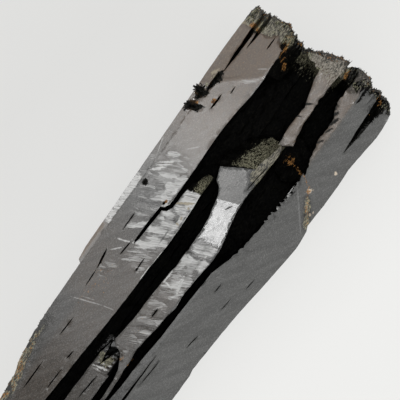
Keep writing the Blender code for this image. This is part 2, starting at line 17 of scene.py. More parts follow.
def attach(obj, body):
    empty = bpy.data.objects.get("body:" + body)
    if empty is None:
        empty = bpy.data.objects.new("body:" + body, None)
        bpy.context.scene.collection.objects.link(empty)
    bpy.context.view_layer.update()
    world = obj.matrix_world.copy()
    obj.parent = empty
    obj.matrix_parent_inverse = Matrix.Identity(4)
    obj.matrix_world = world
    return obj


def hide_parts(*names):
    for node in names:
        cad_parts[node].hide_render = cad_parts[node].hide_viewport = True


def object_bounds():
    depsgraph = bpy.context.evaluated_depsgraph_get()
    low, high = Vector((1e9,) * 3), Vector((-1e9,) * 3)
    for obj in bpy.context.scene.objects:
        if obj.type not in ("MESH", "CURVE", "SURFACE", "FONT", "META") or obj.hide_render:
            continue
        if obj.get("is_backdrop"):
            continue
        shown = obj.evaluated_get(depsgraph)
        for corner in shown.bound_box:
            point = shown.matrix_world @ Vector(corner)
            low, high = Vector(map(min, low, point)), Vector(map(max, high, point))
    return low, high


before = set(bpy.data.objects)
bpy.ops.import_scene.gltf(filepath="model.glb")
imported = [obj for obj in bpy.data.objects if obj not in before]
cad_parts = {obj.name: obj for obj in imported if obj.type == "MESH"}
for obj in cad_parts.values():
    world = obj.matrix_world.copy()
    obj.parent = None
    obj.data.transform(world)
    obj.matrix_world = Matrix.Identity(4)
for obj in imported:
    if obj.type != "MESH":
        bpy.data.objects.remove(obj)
cad_low, cad_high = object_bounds()
MM = 0.001
NODE = "aegirine_crystal"
print("CAD box in mm:", [round(side / MM, 2) for side in cad_high - cad_low])

# %% [markdown]
# ## Camera
# The crystal lies on its back and is looked at from straight above, turned so that its long
# axis runs from the lower left to the upper right. A long lens keeps its edges parallel.

# %% Camera
AXIS_LEAN = math.radians(54)             # from the image's right to the crystal's long axis
AIM = Vector((18.9, 3.8, 24.0)) * MM     # the middle of the view, on the front faces
VIEW_WIDTH = 80 * MM
LENS = 200.0
SENSOR = 36.0


def add_object(name, data):
    made = bpy.data.objects.new(name, data)
    bpy.context.scene.collection.objects.link(made)
    return made


image_right = Vector((math.cos(AXIS_LEAN), -math.sin(AXIS_LEAN), 0))
image_up = Vector((math.sin(AXIS_LEAN), math.cos(AXIS_LEAN), 0))
camera_data = bpy.data.cameras.new("camera")
camera_data.lens = LENS
camera_data.sensor_width = SENSOR
camera_data.clip_start = 0.01
camera = add_object("camera", camera_data)
turn = Matrix((image_right, image_up, Vector((0, 0, 1)))).transposed()
camera.matrix_world = turn.to_4x4()
camera.location = AIM + Vector((0, 0, VIEW_WIDTH / 2 / (SENSOR / 2 / LENS)))
bpy.context.scene.camera = camera
print("camera height in mm:", round(camera.location.z / MM, 1))

# %% [markdown]
# ## Floor and light
# A black glossy thing is seen by what it mirrors. The wide panel above gives the front faces
# their grey sheen. Two small bright ones stand where the left prism's front and the lit facet
# mirror them, and low panels fill the two prism faces that look sideways.


# %% Node helpers
def fill(tree, inputs, values):
    """Gives inputs their values, by name or number: a socket is linked, all else is set."""
    for name, value in values.items():
        if isinstance(value, bpy.types.NodeSocket):
            tree.links.new(value, inputs[name])
        else:
            inputs[name].default_value = value


def node(tree, kind, values=None, **settings):
    made = tree.nodes.new(kind)
    for name, setting in settings.items():
        setattr(made, name, setting)
    fill(tree, made.inputs, values or {})
    return made


def math_node(tree, operation, first, second=0.0):
    return node(tree, "ShaderNodeMath", {0: first, 1: second}, operation=operation).outputs[0]


def times(tree, value, *factors):
    for factor in factors:
        value = math_node(tree, "MULTIPLY", value, factor)
    return value


def vector_node(tree, operation, first, second=(0, 0, 0), output="Vector"):
    made = node(tree, "ShaderNodeVectorMath", {0: first, 1: second}, operation=operation)
    return made.outputs[output]


def mix_colour(tree, factor, first, second):
    made = node(tree, "ShaderNodeMix", {0: factor, 6: first, 7: second}, data_type="RGBA")
    return made.outputs[2]


def mix_value(tree, factor, first, second):
    made = node(tree, "ShaderNodeMix", {0: factor, 2: first, 3: second}, data_type="FLOAT")
    return made.outputs[0]


def remap(tree, value, low, high, to_low=0.0, to_high=1.0):
    """value from low..high to to_low..to_high, held at the ends."""
    made = node(
        tree, "ShaderNodeMapRange",
        {"Value": value, "From Min": low, "From Max": high, "To Min": to_low, "To Max": to_high},
    )
    made.clamp = True
    return made.outputs[0]


def two_tones(tree, share, low, high, dark, pale):
    """dark where share is under low, pale where it is over high, and mixed between."""
    return mix_colour(tree, remap(tree, share, low, high), dark, pale)


def new_material(name):
    material = bpy.data.materials.new(name)
    material.use_nodes = True
    return material, material.node_tree, material.node_tree.nodes["Principled BSDF"]


# %% Floor
FLOOR_HALF = 1.5
FLOOR_GREY = 0.30
FLOOR_GLOW = (0.575, 0.705)            # its own glow at the upper left and at the lower right
GLOW_REACH = 40 * MM

floor_mesh = bpy.data.meshes.new("floor")
corners = [(x * FLOOR_HALF, y * FLOOR_HALF, 0) for x, y in ((-1, -1), (1, -1), (1, 1), (-1, 1))]
floor_mesh.from_pydata(corners, [], [(0, 1, 2, 3)])
floor = add_object("floor", floor_mesh)
floor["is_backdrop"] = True
floor_material, tree, shader = new_material("pale_floor")
to_lower_right = (image_right - image_up).normalized()
lower_right = vector_node(tree, "DOT_PRODUCT", node(tree, "ShaderNodeTexCoord").outputs["Object"],
                          to_lower_right, "Value")
middle = AIM.dot(to_lower_right)
glow = remap(tree, lower_right, middle - GLOW_REACH, middle + GLOW_REACH, *FLOOR_GLOW)
fill(tree, shader.inputs, {
    "Base Color": (FLOOR_GREY, FLOOR_GREY, FLOOR_GREY * 0.98, 1), "Roughness": 1.0,
    "Specular IOR Level": 0.0, "Emission Color": (1, 1, 0.985, 1), "Emission Strength": glow,
})
floor_mesh.materials.append(floor_material)

# %% Lights
WORLD_ZENITH = 0.42
WORLD_HORIZON = 0.75


def panel(name, place, width, height, radiance, colour=(1, 1, 1), shape="RECTANGLE"):
    """A soft panel of the given radiance that faces AIM. Blender wants its power in watts."""
    data = bpy.data.lights.new(name, "AREA")
    data.shape = shape
    data.size = width
    data.size_y = height
    data.energy = radiance * 4 * width * height * (math.pi / 4 if shape == "ELLIPSE" else 1)
    data.color = colour
    light = add_object(name, data)
    light.location = place
    light.rotation_euler = (AIM - place).to_track_quat("-Z", "Y").to_euler()


def above(degrees, direction, distance):
    """A place at a distance from AIM, leaning off the vertical towards a direction."""
    lean = math.radians(degrees)
    return AIM + (direction * math.sin(lean) + Vector((0, 0, math.cos(lean)))) * distance


def mirrored(place, normal, distance):
    """Where a light has to be for the camera to see it in a small mirror at place."""
    to_camera = (camera.location - place).normalized()
    normal = normal.normalized()
    return place + (2 * normal.dot(to_camera) * normal - to_camera) * distance


LEFT_SHEEN = Vector((27, 11, 25)) * MM       # the brightest place of the left prism's front
FACET = Vector((17.4, -2.1, 23.7)) * MM
FACET_NORMAL = Vector((0.081, 0.031, 0.996))
UPRIGHT = Vector((0, 0, 1))

panel("wide_top", above(8.5, Vector((1, 0, 0)), 1.1), 0.62, 0.62, 0.84)
panel("front_key", mirrored(LEFT_SHEEN, UPRIGHT, 0.95), 0.085, 0.085, 1.95, (1, 0.985, 0.96), "ELLIPSE")
panel("facet_key", mirrored(FACET, FACET_NORMAL, 0.9), 0.07, 0.06, 7.4, shape="ELLIPSE")
panel("right_low", Vector((0.19, -0.7, 0.09)), 0.6, 0.2, 0.28, (1, 1, 0.97))
panel("left_low", Vector((0.0, 0.7, 0.10)), 0.6, 0.2, 1.2)

world = bpy.data.worlds.new("studio")
bpy.context.scene.world = world
world.use_nodes = True
tree = world.node_tree
direction = node(tree, "ShaderNodeTexCoord").outputs["Generated"]
height = node(tree, "ShaderNodeSeparateXYZ", {0: direction}).outputs["Z"]
strength = remap(tree, height, 0.0, 0.6, WORLD_HORIZON, WORLD_ZENITH)
fill(tree, tree.nodes["Background"].inputs, {"Strength": strength, "Color": (1, 1, 0.99, 1)})
bpy.context.scene.view_settings.view_transform = "Standard"
print("lights:", len(bpy.data.lights))

# %% [markdown]
# ## A finer skin
# The solid's big flat faces have only their corners, so nothing on them could be moved or
# marked. A copy is cut by three families of parallel planes, which keeps every crystal edge
# sharp and leaves cells of about half a millimetre where the crystal is looked at.

# %% Cut the skin into cells
SHOWN_CELL = 0.55
FINE_CELL = 0.36
HIDDEN_CELL = 1.6
LEFT_FRONT_Z = 25.0          # the left prism's front face is level here
UPRIGHT_STRETCH = 1.5        # cells are this much taller on upright walls
SIDE_Y = 14.2                # the outer side faces lie beyond this
SPAN = ((-59.5, 59.6), (-17.6, 17.6), (1.0, 25.4))
STEEPEST = (0.83, 0.75, 0.65)        # a face that looks more than this along an axis isn't cut by it
FINE_ZONE = ((-10.0, 26.0), (-6.0, 17.6), (22.0, 25.4))      # where the front is finely etched
STEP_ZONE = ((-23.0, -15.0), (-2.2, 2.4), (18.0, 23.5))      # the small crystal's stepped end
COMB_ZONE = ((22.0, 34.0), (-10.8, -8.9), (19.5, 22.6))      # the right prism's frayed edge
COMB_CELL = 0.28
LEFT_FRONT_ZONE = ((-60.0, 53.4), (3.5, 15.2), (24.87, 25.08))      # its corners, nearly level
CUT_SLACK = 0.01             # a face that passes a cut by less than this isn't cut
CUT_WELD = 0.03              # a corner this near a cut counts as lying on it
SAME_PLACE = 0.001           # corners this close become one
FLAT_ANGLE = math.radians(0.4)       # faces that meet flatter than this become one


def cut_cells(bm, faces, axis, places):
    """Cuts faces at the places along an axis, halving the list of places each time."""
    if not places or not faces:
        return faces
    half = len(places) // 2
    middle = places[half]
    low, high, crossing = [], [], []
    for face in faces:
        along = [vert.co[axis] for vert in face.verts]
        if max(along) <= middle + CUT_SLACK:
            low.append(face)
        elif min(along) >= middle - CUT_SLACK:
            high.append(face)
        else:
            crossing.append(face)
    if crossing:
        normal = Vector((0, 0, 0))
        normal[axis] = 1
        edges = dict.fromkeys(edge for face in crossing for edge in face.edges)
        verts = dict.fromkeys(vert for face in crossing for vert in face.verts)
        cut = bmesh.ops.bisect_plane(
            bm, geom=[*crossing, *edges, *verts], dist=CUT_WELD,
            plane_co=normal * middle, plane_no=normal,
        )
        for piece in cut["geom"]:
            if isinstance(piece, bmesh.types.BMFace):
                side = low if piece.calc_center_median()[axis] < middle else high
                side.append(piece)
    return (cut_cells(bm, low, axis, places[:half])
            + cut_cells(bm, high, axis, places[half + 1:]))


def cut_grid(bm, faces, cell, span=SPAN):
    for axis, (start, stop) in enumerate(span):
        step = cell * (UPRIGHT_STRETCH if axis == 2 else 1)
        facing = [f for f in faces if abs(f.normal[axis]) > STEEPEST[axis]]
        across = [f for f in faces if abs(f.normal[axis]) <= STEEPEST[axis]]
        faces = facing + cut_cells(bm, across, axis, list(np.arange(start, stop, step)))


def inside(point, zone):
    """Whether a point is in a box, given as the low and high end along x, y and z."""
    return all(low < along < high for along, (low, high) in zip(point, zone))


skin = bmesh.new()
skin.from_mesh(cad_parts[NODE].data)
skin.transform(Matrix.Scale(1 / MM, 4))
for vert in skin.verts:
    if inside(vert.co, LEFT_FRONT_ZONE):
        vert.co.z = LEFT_FRONT_Z
bmesh.ops.remove_doubles(skin, verts=skin.verts, dist=SAME_PLACE)
bmesh.ops.dissolve_limit(skin, angle_limit=FLAT_ANGLE, verts=skin.verts, edges=skin.edges,
                         use_dissolve_boundaries=False)
hidden, shown = [], []
for face in skin.faces:
    outer_side = abs(face.normal.y) > 0.9 and abs(face.calc_center_median().y) > SIDE_Y
    (hidden if face.normal.z < -0.2 or outer_side else shown).append(face)
cut_grid(skin, hidden, HIDDEN_CELL)
cut_grid(skin, shown, SHOWN_CELL)
for zone, cell, lowest in ((FINE_ZONE, FINE_CELL, 0.8), (STEP_ZONE, FINE_CELL, 0.8),
                           (COMB_ZONE, COMB_CELL, -0.2)):
    chosen = [face for face in skin.faces
              if face.normal.z > lowest and inside(face.calc_center_median(), zone)]
    cut_grid(skin, chosen, cell, zone)

# %% [markdown]
# Two places are filled up before anything is marked: the left prism's front runs on level to
# the shoulder, and a plug of crust closes the end of the groove beside the right prism.

# %% Level the shoulder and plug the groove
SHOULDER_ZONE = ((45.5, 53.4), (7.7, 10.6), (24.2, 25.4))
PLUG_START, PLUG_FULL = 53.5, 55.5
PLUG_FLOOR, PLUG_TOP = 12.6, 21.0
PLUG_ZONE = ((PLUG_START, 60.0), (-6.7, -4.1), (10.0, PLUG_TOP))
PLUG_PUSH = 0.8              # how far the plug's end stands out of the groove

for vert in skin.verts:
    if inside(vert.co, SHOULDER_ZONE):
        vert.co.z = LEFT_FRONT_Z
    if inside(vert.co, PLUG_ZONE):
        share = min(1.0, (vert.co.x - PLUG_START) / (PLUG_FULL - PLUG_START))
        vert.co.z = max(vert.co.z, PLUG_FLOOR + share * (PLUG_TOP - PLUG_FLOOR))
        if vert.co.x > 57 and vert.co.y < -4.5:
            vert.co.x += PLUG_PUSH
bmesh.ops.remove_doubles(skin, verts=skin.verts, dist=SAME_PLACE)
print("skin:", len(skin.verts), "corners,", len(skin.faces), "faces")

# %% [markdown]
# Blender numbers the new corners differently from run to run. Sorting them by place before the
# faces are split into triangles makes every later step come out the same.

# %% Put the skin in order
skin.verts.index_update()
place = np.array([vert.co for vert in skin.verts])
order = np.lexsort(np.round(place, 4).T)
number = np.empty(len(order), int)
number[order] = np.arange(len(order))
faces = []
for face in skin.faces:
    loop = [int(number[vert.index]) for vert in face.verts]
    first = loop.index(min(loop))
    faces.append(loop[first:] + loop[:first])
skin.free()
mesh = bpy.data.meshes.new("crystal_skin")
mesh.from_pydata(place[order].tolist(), [], sorted(faces))
split = bmesh.new()
split.from_mesh(mesh)
bmesh.ops.triangulate(split, faces=split.faces[:])
split.to_mesh(mesh)
split.free()

# %% Measure the skin
place = np.empty(len(mesh.vertices) * 3, np.float32)
mesh.vertices.foreach_get("co", place)
place = place.reshape(-1, 3).astype(float)
triangles = np.empty(len(mesh.loops), np.int32)
mesh.loops.foreach_get("vertex_index", triangles)
triangles = triangles.reshape(-1, 3)
side_a = place[triangles[:, 1]] - place[triangles[:, 0]]
side_b = place[triangles[:, 2]] - place[triangles[:, 0]]
face_normal = np.cross(side_a, side_b)
face_area = np.linalg.norm(face_normal, axis=1, keepdims=True) / 2
face_normal /= np.maximum(face_area * 2, 1e-12)
face_middle = place[triangles].mean(axis=1)
print(len(triangles), "triangles,", round(face_area.sum()), "square mm of surface")

# %% [markdown]
# ## Where each finish lies
# Several finishes share the crystal: glassy growth faces, etched walls in the grooves whose black
# also paints their shade, silky patches where etching has just begun with a painted sheen, crest
# edges with a painted highlight, greenish crusts of fine blades on the ends, a brown film, and
# rusty limonite. Each gets a number from 0 to 1 at every corner of the skin.
# Zones are written in millimetres along (x) and across (y) the crystal.


# %% Zone helpers
def ramp(value, start, stop):
    """0 before start, 1 after stop, smooth between. Works on whole arrays."""
    part = np.clip((value - start) / (stop - start), 0, 1)
    return part * part * (3 - 2 * part)


def span(value, low, high, edge=0.5):
    """1 between low and high, 0 outside, with edges of the given width."""
    return ramp(value, low - edge, low + edge) * (1 - ramp(value, high - edge, high + edge))


def noise_at(points, period, seed, lean=0.0):
    """Smooth noise at each point, about -1 to 1. period is in mm along x, y and z."""
    turn = Matrix.Rotation(math.radians(lean), 3, "Z")
    turned = points @ np.array(turn).T
    shifted = turned / np.array(period) + np.array((seed * 7.3, seed * 3.1, seed * 5.7))
    return np.array([noise.noise(p) for p in shifted])


def patch(centre, half_x, half_y, lean=0.0, edge=0.35):
    """1 inside an oval, 0 outside it, with an uneven border."""
    turned = math.radians(lean)
    dx, dy = x - centre[0], y - centre[1]
    along = dx * math.cos(turned) + dy * math.sin(turned)
    across = dy * math.cos(turned) - dx * math.sin(turned)
    reach = np.hypot(along / half_x, across / half_y) + wobble * 0.3 + fine_wobble * 0.25
    return 1 - ramp(reach, 1 - edge, 1 + edge)


def stripe(start, stop, half_width):
    """A narrow patch from one place to another."""
    run, rise = stop[0] - start[0], stop[1] - start[1]
    centre = ((start[0] + stop[0]) / 2, (start[1] + stop[1]) / 2)
    lean = math.degrees(math.atan2(rise, run))
    return patch(centre, math.hypot(run, rise) / 2 + half_width, half_width, lean)


def most_of(*zones):
    return np.maximum.reduce(zones)


def at_corners(face_values):
    """The mean at each corner of what its faces have."""
    total = np.zeros(len(place))
    count = np.zeros(len(place))
    for side in range(3):
        np.add.at(total, triangles[:, side], face_values)
        np.add.at(count, triangles[:, side], 1)
    return total / np.maximum(count, 1)


x, y, z = place.T
wobble = noise_at(place, (1.6, 1.2, 1.2), 1)
fine_wobble = noise_at(place, (0.7, 0.45, 0.5), 2)
on_front = ramp(z, 21.6, 22.0)
on_tips = ramp(x, 38, 38.6) * ramp(z, 13, 15)

# %% Sheltered faces
FRONT_FLAT = 0.97            # a front face looks at least this much upwards
OUTLINE_X = (-58.8, -44.2, -36.2, -31.2, -27.8, -22.6, -17.2)
OUTLINE_Y = (12.1, 12.5, 12.8, 13.3, 14.3, 15.1, 15.5)      # the weathered stretch of left edge
SLOPE_Y, SLOPE_Z = -0.687, 0.727     # the normal of the right prism's slope
SLOPE_DISTANCE = 23.0                # from the origin to the slope's plane
ANYWHERE = (-math.inf, math.inf)


def faces_in(along_x=ANYWHERE, along_y=ANYWHERE, along_z=ANYWHERE):
    """Which faces have their middle in a box, given as the low and high end of each side."""
    found = np.ones(len(face_middle), bool)
    for middle, (low, high) in zip(face_middle.T, (along_x, along_y, along_z)):
        found &= (middle > low) & (middle < high)
    return found


nx, ny, nz = face_normal.T
fx, fy, fz = face_middle.T
between_prisms = faces_in(along_y=(-10.6, 9.95), along_z=(11, 24.8))
front = (nz > FRONT_FLAT) & (fz > 21.5)
wide_slope = (nz > 0.6) & (ny < -0.6) & (fy < -5)
small_end = (nz > 0.8) & faces_in((-21.5, -14), (-1.6, 2.4))
upper_end = (nz > 0.7) & faces_in((52.4, 60), (-4.6, 4.2), (19, 26))
shoulder = faces_in((46.4, 57.4), (3.9, 9.3), (18, 24.9))
in_slits = faces_in((-60, 54.5), (10.2, 15.6), (20, 24.5))
outer_wall = (fx < -8) & (ny > 0.5) & (fy > np.interp(fx, OUTLINE_X, OUTLINE_Y) - 0.6)
in_slits &= ~outer_wall
under_slope = SLOPE_DISTANCE - SLOPE_Y * fy - SLOPE_Z * fz
in_notch = (under_slope > 0.95) & faces_in((38, 57), (-17.0, -10.6), (12, 26))
# Faces in the recesses between and beside the prisms: their near-black colour is partly painted shade.
sheltered = between_prisms & ~(front | wide_slope | small_end | upper_end)
sheltered |= shoulder | in_slits | in_notch
print("sheltered faces:", int(sheltered.sum()), "of", len(sheltered))

# %% Crystal edges
SHARP = math.cos(math.radians(25))

edge_ends = np.concatenate([triangles[:, [0, 1]], triangles[:, [1, 2]], triangles[:, [2, 0]]])
edge_ends.sort(axis=1)
edge_face = np.tile(np.arange(len(triangles)), 3)
order = np.lexsort(edge_ends.T)
edge_ends = edge_ends[order].reshape(-1, 2, 2)[:, 0]
face_a, face_b = edge_face[order].reshape(-1, 2).T
bend = (face_normal[face_a] * face_normal[face_b]).sum(axis=1)
apart = face_middle[face_b] - face_middle[face_a]
crest = (bend < SHARP) & ((apart * face_normal[face_a]).sum(axis=1) < 0)
# Corners on crest edges: they are nibbled a little and get a painted highlight.
edge_chips_and_highlight = np.zeros(len(place))
edge_chips_and_highlight[edge_ends[crest].ravel()] = 1
print("crest edges:", int(crest.sum()))

# %% Etched and crusted zones
# The crack that runs down the right prism, and its half width.
SEAM = [(35.8, -7.3), (35.2, -9.9), (34.8, -11.1), (33.7, -12.7), (32.3, -13.5), (30.7, -14.5),
        (29.1, -15.7), (27.1, -16.9)]
SEAM_HALF = (0.4, 0.3, 0.35, 0.4, 0.7, 0.8, 0.8)

rim_y = np.interp(x, OUTLINE_X, OUTLINE_Y) + 0.5 * wobble
left_rim = ramp(y, rim_y - 2.3, rim_y - 1.2) * ramp(-x - 2 * wobble, 13, 26)
left_rim *= ramp(z + 1.6 * wobble + 0.8 * fine_wobble, 20.5, 24.5)
tip_reach = 53.5 + 1.2 * wobble - 1.2 * ramp(y, 9, 17) + 2.2 * ramp(-y, 8.5, 10) - ramp(-y, 14, 15.5)
tip = ramp(x, tip_reach, tip_reach + 1.2 + 4.5 * span(y, -4.8, 3.5))
end_y = np.arange(-17, 17.5, 1.0)
end_x = [fx[(np.abs(fy - middle) < 0.9) & (fz > 11)].max() for middle in end_y]
near_end = fx > np.interp(fy, end_y, end_x) - 1.6
end_faces = at_corners(((nx > 0.45) & near_end).astype(float))
to_end = np.interp(y, end_y, end_x) - x
end_rim = most_of(ramp(at_corners(end_faces[triangles].mean(axis=1)), 0.05, 0.5),
                  on_tips * (1 - ramp(to_end + 0.5 * fine_wobble, 0.3, 1.0)))
base = ramp(-x, 55.6, 57.2)
black_spots = on_front * most_of(
    patch((36.7, 16.8), 0.8, 0.9), patch((36.9, 15.4), 0.9, 0.4), patch((35.1, 16.2), 0.9, 0.35),
    patch((32.8, 16.8), 0.7, 0.7), patch((33.5, 15.3), 0.8, 0.75), patch((40.5, 15.3), 1.8, 0.55),
    patch((15.5, 14.9), 0.42, 0.22, -35), patch((15.2, 14.4), 0.36, 0.2, 25),
)
black_spots = ramp(black_spots + 0.6 * fine_wobble, 0.42, 0.6) * ramp(black_spots, 0.05, 0.2)
black_spots *= 1 - patch((34.3, 15.8), 0.6, 0.6)
dark_tips = most_of(
    patch((54.4, 14.4), 1.9, 1.0), patch((55.2, 8.2), 2.6, 1.1), patch((55.0, -14.5), 3.2, 1.2),
    0.75 * tip * ramp(-y, 10, 11), 0.5 * tip * ramp(y, 6, 8),
)
dark_tips = on_tips * ramp(dark_tips + 0.5 * fine_wobble, 0.5, 0.62)
rib = on_front * patch((32.6, -2.6), 5.6, 1.6)
# Corners of those recess faces; through the etched number their dark tone is partly painted shade.
behind = at_corners(sheltered.astype(float))
seam = most_of(*(stripe(start, stop, half) for start, stop, half in zip(SEAM, SEAM[1:], SEAM_HALF)))
seam *= z > 8
low_seam = seam * ramp(-x, -33, -32)
etched = most_of(behind, 0.75 * tip, end_rim, base, 0.8 * left_rim, black_spots, dark_tips,
                 0.7 * rib, 0.8 * low_seam)
slope = span(x, 26, 38) * span(y, -3.8, 5.4) * span(z, 15, 23)
clumps = 1 + 0.8 * noise_at(place, (1.6, 0.8, 1.0), 6)
crust = most_of(
    0.62 * tip * ramp(y, 6, 8), 0.34 * tip * ramp(-y, 5, 7),
    span(y, -5.2, 5) * ramp(x, 50, 51.5) * (0.26 + 0.44 * ramp(x + wobble, 51, 58)),
    0.4 * patch((38.9, 16.3), 2.6, 0.5), 0.2 * span(x, 47, 58) * span(y, 4.2, 9) * span(z, 14, 24),
    0.5 * low_seam * clumps,
    0.48 * left_rim * clumps, 0.12 * base, 0.5 * rib * clumps,
    slope * 0.64 * ramp(-y - 0.3 * (x - 30), -5, 0) * clumps,
    0.7 * span(x, 19.6, 25) * ramp(-y, -6.9, -5.2) * span(y, 4.2, 8) * span(z, 18, 24.7) * clumps,
    0.5 * patch((-17.6, 0.4), 2.0, 2.2) * on_front,
    0.14 * span(x, -60, 4, 3) * on_front * ramp(y, -5, -4),
) * (1 - end_rim)
bleached = most_of(
    span(x, 50, 60) * span(y, -4.6, 2.5), 0.45 * span(x, 50, 60) * ramp(y, 6, 8), 0.5 * rib,
    0.2 * left_rim, span(x, 52, 60) * span(y, -9.6, -5),
)
print("etched corners:", int((etched > 0.5).sum()), "crusted:", int((crust > 0.3).sum()))

# %% Silky patches
SILKY_SHEEN_OVALS = [                      # centre, half length, half width, lean and strength
    ((43.9, 9.8), 2.8, 0.55, -42, 0.28), ((41.1, 13.3), 2.4, 0.5, -45, 0.16),
    ((23.3, 13.3), 1.4, 0.65, -60, 1.0), ((20.3, 13.1), 2.8, 1.3, -60, 0.4),
    ((19.9, 9.2), 1.5, 1.0, -50, 1.0), ((19.1, 11.6), 1.9, 0.5, -60, 0.9), ((16.3, 9.7), 2.2, 0.8, 0, 0.9),
    ((17.3, 10.4), 1.3, 0.9, 0, 0.95), ((15.5, 10.1), 1.0, 0.6, 0, 0.85),
    ((22.3, 11.3), 2.0, 2.2, 0, 0.5), ((19.4, 12.0), 4.4, 3.6, 0, 0.46), ((14.8, 12.0), 3.6, 3.2, 0, 0.4),
    ((9.7, 10.8), 1.2, 2.4, 0, 0.3), ((-3.1, 10.7), 2.2, 1.6, 0, 0.24),
    ((17.9, 5.5), 2.2, 2.0, 0, 0.95), ((15.1, 5.5), 1.2, 1.8, 0, 0.75),
    ((12.9, 7.1), 0.8, 1.6, 0, 1.0), ((12.9, 4.6), 3.0, 0.5, 0, 0.9),
    ((11.4, 6.2), 1.4, 2.2, 0, 0.7), ((7.4, 6.4), 3.0, 2.6, 0, 0.6), ((5.2, 7.6), 1.2, 1.0, -60, 0.9),
    ((2.6, 6.4), 2.8, 2.6, 0, 0.42),
    ((11.1, -1.5), 1.7, 1.1, 0, 0.7), ((11.5, -3.9), 1.5, 1.0, 0, 0.85), ((11.3, -2.6), 2.0, 2.0, 0, 0.55),
    ((7.7, -1.1), 1.5, 1.1, 0, 1.0), ((8.5, -4.5), 1.7, 0.9, 0, 1.0), ((7.3, -2.7), 1.6, 0.9, 0, 0.7),
    ((5.5, -0.9), 1.4, 0.9, 0, 0.7), ((4.1, -3.7), 1.4, 1.2, 0, 0.95),
    ((3.1, -2.5), 2.2, 1.0, 0, 0.8), ((3.6, -2.6), 3.6, 2.2, 0, 0.6),
    ((1.0, -2.0), 2.0, 2.4, 0, 0.46), ((-7.0, -1.9), 7.0, 2.6, 0, 0.34),
]
SILKY_SHEEN_STRIPES = [                    # start, end, half width and strength
    ((21.5, 8.8), (13.6, 8.8), 0.45, 1.0), ((6.3, 12.2), (8.9, 9.6), 0.65, 1.0),
    ((8.5, 8.6), (10.0, 4.2), 0.8, 1.0), ((5.0, 8.6), (7.4, 4.2), 0.7, 0.9),
    ((-20.4, 1.9), (-19.5, -1.8), 0.2, 1.0), ((-19.4, 1.4), (-18.6, -1.6), 0.16, 0.9),
]
COMB_X = (21, 22, 25, 28, 31, 34)        # the right prism's frayed edge
COMB_Y = (-9.2, -9.3, -9.6, -10.1, -10.4, -10.15)
COMB_PERIOD = 1.15

# Silky patches: etched frosting painted a pale white that also stands for their sheen.
silky_sheen = most_of(
    *(strength * patch(centre, long, wide, lean) for centre, long, wide, lean, strength in SILKY_SHEEN_OVALS),
    *(strength * stripe(start, stop, half) for start, stop, half, strength in SILKY_SHEEN_STRIPES),
)
silky_sheen *= on_front * (1 - etched) * np.where((y < 1.2) & (x > 21.4), 0, 1)
# The bevel that faces the left is painted with the same pale white as a painted sheen.
tilted_left = ramp(at_corners(((ny > 0.4) & (nz > 0.4) & (fy > 15.6)).astype(float)), 0.3, 0.7)
bevel_sheen = tilted_left * ramp(z, 22.6, 23.2) * span(x, 4.6, 16, 0.6)
upper_bevel_sheen = tilted_left * ramp(z, 22.6, 23.2) * span(x, 16, 50, 0.6)
comb_edge = np.interp(x, COMB_X, COMB_Y)
comb = span(x, 22.6, 33.4, 0.5) * ramp(y, comb_edge - 0.45, comb_edge - 0.1) * ramp(z, 20.4, 21.4)
teeth = np.sin((x + 0.8 * wobble) * math.tau / COMB_PERIOD) + 1.2 * fine_wobble
comb *= ramp(teeth, 0, 0.8) * (y < comb_edge + 0.3)
silky_sheen = most_of(silky_sheen, bevel_sheen, 0.12 * upper_bevel_sheen, 0.45 * comb)

# %% Brown film and limonite
TERRACE = (39.3, 15.3)               # the left prism's upper terrace begins on a slanting line here

terrace = ramp(0.736 * (x - TERRACE[0]) + 0.678 * (y - TERRACE[1]), -0.4, 0.4)
film = (0.7 * ramp(x, 12, 38) + 0.3 * terrace) * ramp(y, 7.4, 8.2) * ramp(z, 20, 24)
base_film = 0.3 * ramp(-x, -14, 2) * ramp(y, -5, -4)
base_film *= 1 - 0.8 * ramp(y, 10.5, 12.5) * ramp(-x, 8, 14)
base_film -= 0.1 * span(y, -5, 3) * ramp(-x, 4, 8)
film = most_of(film, 0.84 * span(y, -9.9, 3.0) * ramp(x, 33, 40) * on_front, base_film * on_front,
               ramp(y, 15.9, 16.1) * span(x, -5, 4, 0.4) * ramp(z, 20, 22))

RUSTY_PATCHES = [                    # centre, half length, half width and strength
    ((53.4, 15.8), 0.4, 0.4, 1.0), ((53.3, 14.3), 0.4, 0.35, 0.9), ((53.7, 15.1), 0.5, 0.4, 0.7),
    ((34.2, 15.8), 0.35, 0.35, 1.0), ((36.5, 13.1), 0.4, 0.3, 0.9), ((14.7, 9.1), 0.4, 0.25, 0.9),
    ((56.3, -5.0), 0.8, 0.14, 0.5), ((56.1, -5.5), 0.7, 0.14, 0.5), ((58.3, -5.3), 0.5, 1.2, 0.36),
    ((56.9, -13.5), 1.2, 0.25, 0.7), ((56.5, -14.2), 0.9, 0.2, 0.7), ((53.3, -14.0), 0.7, 0.2, 0.5),
    ((35.9, -6.5), 1.2, 0.5, 0.6), ((36.7, -5.7), 0.9, 0.25, 0.45), ((33.2, -12.9), 0.5, 0.5, 0.6),
    ((30.3, -14.6), 0.4, 0.3, 0.9),
    ((-15.9, -2.0), 1.0, 0.35, 0.4), ((-15.8, -4.1), 1.2, 0.3, 0.5),
    ((51.3, 6.9), 0.9, 0.2, 0.62), ((50.9, 6.1), 0.9, 0.2, 0.62), ((50.3, 5.3), 0.7, 0.25, 0.65),
    ((53.3, 7.7), 2.2, 0.45, 0.45), ((55.3, 8.5), 2.2, 0.8, 0.34),
    ((-7.0, 10.6), 7, 3.0, 0.25), ((-9.0, -1.6), 7, 2.0, 0.24), ((36.2, -5.6), 1.4, 1.0, 0.34),
]
rust = most_of(*(strength * patch(centre, half_x, half_y, edge=0.6)
                 for centre, half_x, half_y, strength in RUSTY_PATCHES))
